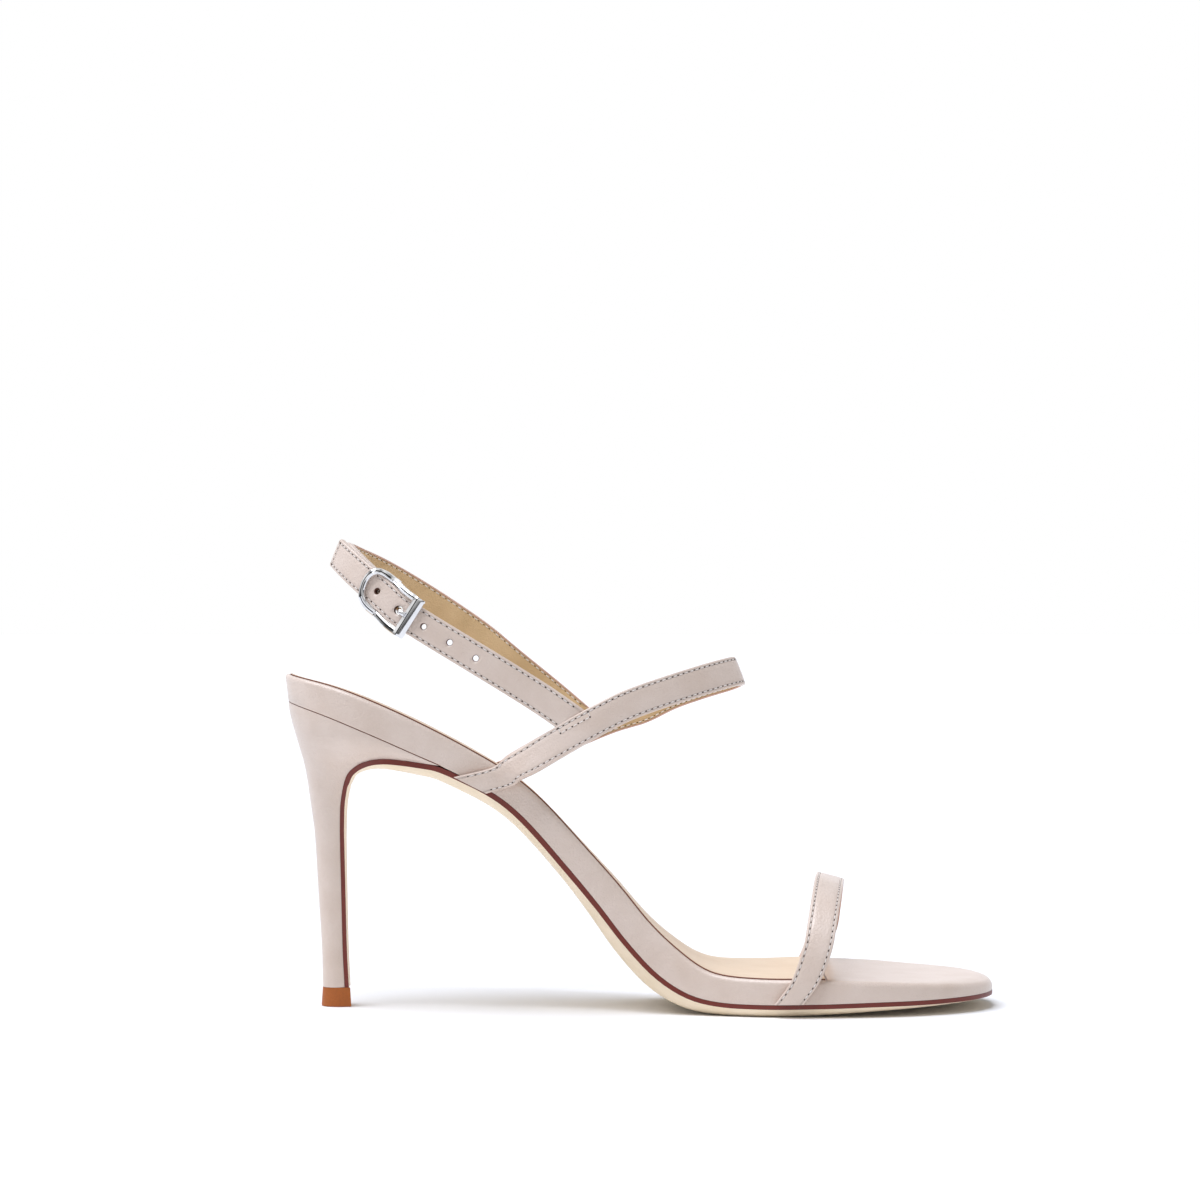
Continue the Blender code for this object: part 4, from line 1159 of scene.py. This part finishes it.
def cross_rows(places):
    """Rows of stitches from place to place across a strap, on its crowned cover and on its lining."""
    rows = []
    for out in (STRAP / 2 + 0.7 * CROWN, -STRAP / 2):
        rows += [(start, end, out) for start, end in zip(places, places[1:])]
    return rows


def stitches(name, line, rows, thread, hole_shade):
    """Thread along rows on a strap, each from one (along, aside) to another, with needle holes between, whose
    near black paints the shade in the holes.
    """
    threads, holes, stitch = bmesh.new(), bmesh.new(), bmesh.new()
    bmesh.ops.create_uvsphere(stitch, u_segments=8, v_segments=6, radius=0.5)
    for start, end, out in rows:
        run, rise = end[0] - start[0], end[1] - start[1]
        count = max(1, round(math.hypot(run, rise) / STITCH_PITCH))
        turn = Matrix.Rotation(math.atan2(rise, run), 4, "Z")
        facing = math.copysign(1, out)
        for k in range(2 * count + 1):
            share = k / (2 * count)
            along, aside = start[0] + run * share, start[1] + rise * share
            if k % 2:
                place = line.matrix(along, aside, out + facing * THREAD_RAISE) @ turn
                add_copy(threads, stitch, place @ Matrix.Diagonal((STITCH, THREAD, 0.8 * THREAD, 1)))
            else:
                place = line.matrix(along, aside, out) @ turn
                size = (NEEDLE_HOLE, 0.9 * NEEDLE_HOLE, 0.25 * NEEDLE_HOLE, 1)
                add_copy(holes, stitch, place @ Matrix.Diagonal(size))
    stitch.free()
    meshes = (("_thread", threads, thread), ("_needle_holes", holes, hole_shade))
    return [add_object(name + kind, mesh, [material]) for kind, mesh, material in meshes]


def add_copy(target, source, matrix):
    """Add a copy of one mesh to another, moved by a matrix."""
    copies = {vertex: target.verts.new(matrix @ vertex.co) for vertex in source.verts}
    for face in source.faces:
        target.faces.new([copies[vertex] for vertex in face.verts])


def toe_strap(skins):
    line = toe_strap_line()
    rows = edge_rows(TOE_STRAP_WIDTH, 2 * MM, line.length - 2 * MM)
    return strap("toe_strap", line, TOE_STRAP_WIDTH, skins, rows)


def instep_strap(skins):
    """The strap over the instep, with the stitches that hold an ankle strap on each side."""
    line = instep_line()
    rows = edge_rows(INSTEP_STRAP_WIDTH, 3 * MM, line.length - 3 * MM)
    outer = INSTEP_STRAP_WIDTH / 2 - STITCH_ROW
    inner = outer - JOIN_SEAM_GAP
    join = length_at(line, JOIN_AT)
    for middle in (join, line.length - join):
        start, end = middle - JOIN_SEAM / 2, middle + JOIN_SEAM / 2
        rows += cross_rows([(start, outer), (start, inner), (end, inner), (end, outer)])
    return strap("instep_strap", line, INSTEP_STRAP_WIDTH, skins, rows)


def buckle_strap(line, skins):
    """The strap with the holes, from its tip through the buckle to the instep strap."""
    tucked = line.length - TUCK

    def squeeze(along):
        return 1 - 0.5 * share_of(along, tucked, tucked + TUCK_THINS)

    def holes(out=0, depth=4 * STRAP, prong_radius=PRONG_HOLE / 2, radius=HOLE / 2):
        places = []
        for k in range(-HOLES_BEHIND, HOLES_AHEAD + 1):
            place = line.matrix(BUCKLE_FROM_TIP + PRONG_REACH + k * HOLE_PITCH, 0, out)
            places.append((place, radius if k else prong_radius))
        return rods(places, depth, skins["punched"])

    aside = ANKLE_STRAP_WIDTH / 2 - STITCH_ROW
    rows = edge_rows(ANKLE_STRAP_WIDTH, STITCH_ROW, tucked)
    rows += cross_rows([(STITCH_ROW, -aside), (STITCH_ROW, aside)])
    pieces = strap("buckle_strap", line, ANKLE_STRAP_WIDTH, skins, rows, squeeze, holes)
    rim = HOLE / 2 + HOLE_RIM
    combine(pieces[0], holes(STRAP / 2 + CROWN, 2 * HOLE_RIM_DEPTH, rim, rim))
    return pieces


def back_strap(buckled, skins):
    """The strap that holds the buckle, with its thinned end folded round the centre bar."""
    line = back_strap_line(buckled)
    folded = line.length - FOLD_LENGTH

    def squeeze(along):
        start = 1 - 0.5 * share_of(along, TUCK, TUCK - TUCK_THINS)
        return start * (1 - (1 - FOLD / STRAP) * share_of(along, folded, folded + FOLD_THINS))

    def slot():
        place = buckled.matrix(BUCKLE_FROM_TIP, 0, BAR_OUT)
        return blocks([(place, (6 * MM, PRONG_SLOT, 7 * MM))], skins["lining"])

    rows = edge_rows(ANKLE_STRAP_WIDTH, TUCK, folded - BUCKLE_FROM_TIP, (1,))
    rows += edge_rows(ANKLE_STRAP_WIDTH, TUCK, folded - 3 * MM, (-1,))
    return strap("back_strap", line, ANKLE_STRAP_WIDTH, skins, rows, squeeze, slot)


def swept(points, outward, section, closed=False):
    """Rings of a section of (aside, out) pairs along points, each with its direction outwards."""
    lines = tangents(points)
    if closed:
        lines[0] = lines[-1] = (points[1] - points[-1]).normalized()
    rings = []
    for point, line, out in zip(points, lines, outward):
        side = line.cross(out).normalized()
        up = side.cross(line).normalized()
        rings.append([point + side * a + up * b for a, b in section])
    return rings


def buckle(buckled, metals):
    """The frame with its end bar, which has a notch for the prong, and the centre bar between two ears."""
    rail = (BUCKLE_WIDTH - BUCKLE_WIRE) / 2
    whole = buckle_frame(buckled, rail, metals)
    bar_out = STRAP / 2 + CLEARANCE + END_BAR_THICK / 2
    place = buckled.matrix(BUCKLE_FROM_TIP + END_BAR_REACH, 0, bar_out)
    rings = []
    for aside, small in END_BAR_ROUNDING:
        ring = [(a * (END_BAR / 2) * small, b * (END_BAR_THICK / 2) * small) for a, b in END_BAR_SECTION]
        rings.append([place @ Vector((ahead, aside * BUCKLE_WIDTH, out)) for ahead, out in ring])
    grooved = [int(k in END_BAR_GROOVE) for k in range(len(END_BAR_SECTION))]
    end_bar = tube("end_bar", rings, metals, grooved)

    turned = buckled.matrix(BUCKLE_FROM_TIP, 0, BAR_OUT) @ Matrix.Rotation(math.pi / 2, 4, "X")
    centre_bar = rods([(turned, CENTRE_BAR / 2)], 2 * rail, metals[0], 24)
    ears = []
    for side in (-1, 1):
        place = buckled.matrix(BUCKLE_FROM_TIP, side * rail, (BAR_OUT + RAIL_DIP) / 2)
        ears.append((place, (EAR, 0.8 * BUCKLE_WIRE, RAIL_DIP - BAR_OUT + CENTRE_BAR)))
    low = buckled.matrix(BUCKLE_FROM_TIP + END_BAR_REACH - 0.5 * END_BAR, 0, bar_out + END_BAR_THICK / 2)
    notch = [(low, (0.5 * END_BAR, PRONG + 2 * CLEARANCE, END_BAR_THICK))]
    for other in (end_bar, centre_bar, blocks(ears, metals[0])):
        combine(whole, other, "UNION", use_self=True)
    combine(whole, blocks(notch, metals[0]), use_self=True)
    whole.data.shade_smooth()
    whole.data.set_sharp_from_angle(angle=math.radians(32))
    return whole


def buckle_frame(buckled, rail, metals):
    """The side rails and the round keeper. They dip beside the centre bar, so that both loops rise."""
    over = STRAP / 2 + CLEARANCE + BUCKLE_WIRE / 2
    end, bow = END_BAR_REACH, KEEPER_REACH
    half = (
        (end, 0.0, over),
        (end, 0.86 * rail, over),
        (end - 0.5 * BUCKLE_WIRE, rail, over - 0.3 * CLEARANCE),
        (0.5 * end, rail, 0.5 * (over + RAIL_DIP)),
        (0, rail, RAIL_DIP),
        (-0.35 * bow, rail, 0.5 * (over + RAIL_DIP)),
        (-0.62 * bow, 0.92 * rail, over - 0.3 * BUCKLE_WIRE),
        (-0.82 * bow, 0.74 * rail, over),
        (-0.95 * bow, 0.42 * rail, over + 0.3 * CLEARANCE),
        (-bow, 0.0, over + 0.5 * CLEARANCE),
    )
    loop = [Vector(row) for row in half]
    loop += [Vector((ahead, -aside, out)) for ahead, aside, out in half[-2::-1]]
    loop = [a.lerp(b, k / 6) for a, b in zip(loop, loop[1:]) for k in range(6)] + [loop[-1]]
    path, _ = curve_through(loop, BUCKLE_POINTS)
    points, outward = [], []
    for place in path[:-1]:
        centre, _, across, out = buckled.axes(BUCKLE_FROM_TIP + place.x)
        points.append(centre + across * place.y + out * place.z)
        outward.append(out)
    for _ in range(RING_PASSES):
        points, outward = smoothed_ring(points), smoothed_ring(outward)
    w, h = BUCKLE_WIRE / 2, 0.46 * BUCKLE_WIRE
    section = [(FRAME_SPREAD * (aside * w), out * h) for aside, out in FRAME_SECTION]
    grooved = [int(k in FRAME_GROOVE) for k in range(len(section))]
    rings = swept(points, outward, section, closed=True)
    return tube("buckle_frame", rings, metals, grooved, closed=True, sharp=60)


def smoothed_ring(values):
    """Even out a closed row of vectors."""
    before, after = values[-1:] + values[:-1], values[1:] + values[:1]
    return [(a + 2 * b + c) / 4 for a, b, c in zip(before, values, after)]


def prong(buckled, material):
    """A flattened wire curled round the centre bar, through the strap's hole and down on the end bar."""
    flat = buckled.matrix(BUCKLE_FROM_TIP, 0, 0)
    points = []
    turns = 12
    for k in range(turns + 1):
        turn = math.radians(PRONG_CURL[0] + (PRONG_CURL[1] - PRONG_CURL[0]) * k / turns)
        ahead, out = PRONG_RADIUS * math.cos(turn), PRONG_RADIUS * math.sin(turn)
        points.append(flat @ Vector((ahead, 0, BAR_OUT + out)))
    under = -(STRAP / 2 + 1.3 * CLEARANCE + PRONG / 2)
    over = STRAP / 2 + CLEARANCE + 0.55 * END_BAR_THICK + PRONG / 2
    rest = END_BAR_REACH - 0.42 * END_BAR
    for ahead, out in (
        (0.35 * PRONG_REACH, under - 0.35 * PRONG),
        (0.68 * PRONG_REACH, under - 0.17 * PRONG),
        (0.86 * PRONG_REACH, under),
        (0.95 * PRONG_REACH, 0.6 * under),
        (1.05 * PRONG_REACH, 0.45 * over),
        (1.14 * PRONG_REACH, 0.85 * over),
        (0.5 * (1.14 * PRONG_REACH + rest), over),
        (rest, over),
    ):
        points.append(buckled.at(BUCKLE_FROM_TIP + ahead, 0, out))
    path, _ = curve_through(points, PRONG_POINTS)
    across = buckled.axes(BUCKLE_FROM_TIP)[2]
    outward = [across.cross(line) for line in tangents(path)]
    turns = [2 * math.pi * k / PRONG_SIDES for k in range(PRONG_SIDES)]
    section = [(PRONG_SPREAD * PRONG / 2 * math.cos(turn), PRONG / 2 * math.sin(turn)) for turn in turns]
    return tube("prong_wire", swept(path, outward, section), [material])


def dress():
    """Make every piece, put it under the root and hide the node that it replaces."""
    nude = leather("nude_leather", NUDE, NUDE_DEEP, 0.42, 0.12 * MM, 0.6 * MM, coat=0.4)
    tan = leather("tan_lining", TAN, TAN_DEEP, 0.58, 0.10 * MM, 0.45 * MM)
    insole = leather("sock_leather", SOCK_TAN, SOCK_DEEP, 0.5, 0.035 * MM, 0.5 * MM)
    tread = leather("outsole_leather", CREAM, CREAM_DEEP, 0.5, 0.02 * MM, 0.30 * MM)
    painted = plain("painted_edge", DARK_EDGE, 0.45)
    seam_shadow_paint = plain("seam_shadow", SEAM_SHADOW_COLOUR, 0.6)
    tip = plain("tip_rubber", TIP_COLOUR, 0.6, scale=1600, depth=0.03 * MM)
    silver = plain("polished_metal", SILVER, 0.10, metallic=1.0, uneven=0.03, scale=300, depth=0.002 * MM)
    # The second metal is dark grey, painted shade in the buckle's grooves
    metals = [silver, plain("metal_groove_shade", GROOVE_SHADE_COLOUR, 0.4, metallic=1.0)]
    skins = {
        "cover": nude,
        "turned": leather("turned_edge", TURNED_COLOUR, TURNED_COLOUR, 0.5, 0.03 * MM, 0.5 * MM),
        # The stitch channels' darker nude is painted shade
        "channel": plain("stitch_channel_shade", CHANNEL_SHADE_COLOUR, 0.6),
        "lining": tan,
        "punched": plain("punched_leather", PUNCHED_COLOUR, 0.7),
        "thread": plain("thread", THREAD_COLOUR, 0.6, scale=3000),
        # The needle holes' near black is painted shade
        "needle": plain("needle_hole_shade", NEEDLE_HOLE_SHADE, 0.8),
    }
    buckled = buckle_strap_line()
    groups = (
        ("platform", "nude_leather", [platform(nude, seam_shadow_paint)]),
        ("sock", "sock_leather", [sock(insole, plain("sock_edge", SOCK_EDGE_COLOUR, 0.5))]),
        ("heel", "nude_leather", [heel(nude)]),
        ("top_piece", "top_piece", [top_piece(tip)]),
        ("outsole", "outsole", [outsole(painted, tread)]),
        ("toe_strap", "nude_leather", toe_strap(skins)),
        ("upper_straps", "nude_leather", instep_strap(skins) + buckle_strap(buckled, skins)),
        ("upper_straps", "nude_leather", back_strap(buckled, skins)),
        ("buckle", "buckle_metal", [buckle(buckled, metals)]),
        ("prong", "buckle_metal", [prong(buckled, silver)]),
    )
    for node, slot, pieces in groups:
        for piece in pieces:
            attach(piece, "root")
            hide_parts(node)


def stage():
    """A wide pale floor."""
    mesh = bmesh.new()
    bmesh.ops.create_grid(mesh, x_segments=8, y_segments=8, size=FLOOR_HALF)
    paint = plain("floor_paint", FLOOR_WHITE, 0.9, uneven=0.02, scale=3, tint=0.995)
    paint.node_tree.nodes["Principled BSDF"].inputs["Specular IOR Level"].default_value = 0
    add_object("floor", mesh, [paint], 60)


def lights():
    """The room that glossy things see, a grey one for the rest, plain white for the camera, and the lamps."""
    world = bpy.data.worlds.new("studio")
    bpy.context.scene.world = world
    world.use_nodes = True
    tree = world.node_tree
    direction = add_node(tree, "SeparateXYZ", {"Vector": add_node(tree, "TexCoord").outputs["Generated"]})
    forward, up = direction.outputs["Y"], direction.outputs["Z"]
    stops = [(position, (grey, grey, grey)) for position, grey in REFLECTED_ROOM]
    bands = ramp(tree, span(tree, up, 0.0, 1.0, -1.0), stops)
    behind = span(tree, forward, 0.0, 1.0, *BACKDROP_BEHIND)
    low = span(tree, up, 1.0, 0.0, *BACKDROP_TOP)
    around = choose(tree, calculate(tree, "MULTIPLY", behind, low), bands, (*BACKDROP_LIGHT, 1))
    rays = add_node(tree, "LightPath").outputs
    glossy = choose(tree, rays["Is Glossy Ray"], (*ROOM_LIGHT, 1), around)
    seen = choose(tree, rays["Is Camera Ray"], glossy, (1, 1, 1, 1))
    feed(tree, tree.nodes["Background"], {"Color": seen, "Strength": 1.0})
    for name, towards, strength, angle in LAMPS:
        lamp = bpy.data.lights.new(name, "SUN")
        lamp.energy = strength
        lamp.color = LAMP_COLOUR
        lamp.angle = math.radians(angle)
        put(name, lamp).rotation_euler = Vector(towards).to_track_quat("Z", "Y").to_euler()


def camera():
    view = bpy.data.cameras.new("camera")
    view.sensor_width = SENSOR
    view.lens = CAMERA_FOCUS / IMAGE_SIZE * SENSOR
    view.clip_end = 20
    holder = put("camera", view)
    holder.location = CAMERA
    holder.rotation_euler = (math.pi / 2, 0, 0)
    bpy.context.scene.camera = holder
    bpy.context.scene.view_settings.view_transform = "Standard"


def corners(box):
    return [list(corner) for corner in box]


dress()
stage()
lights()
camera()
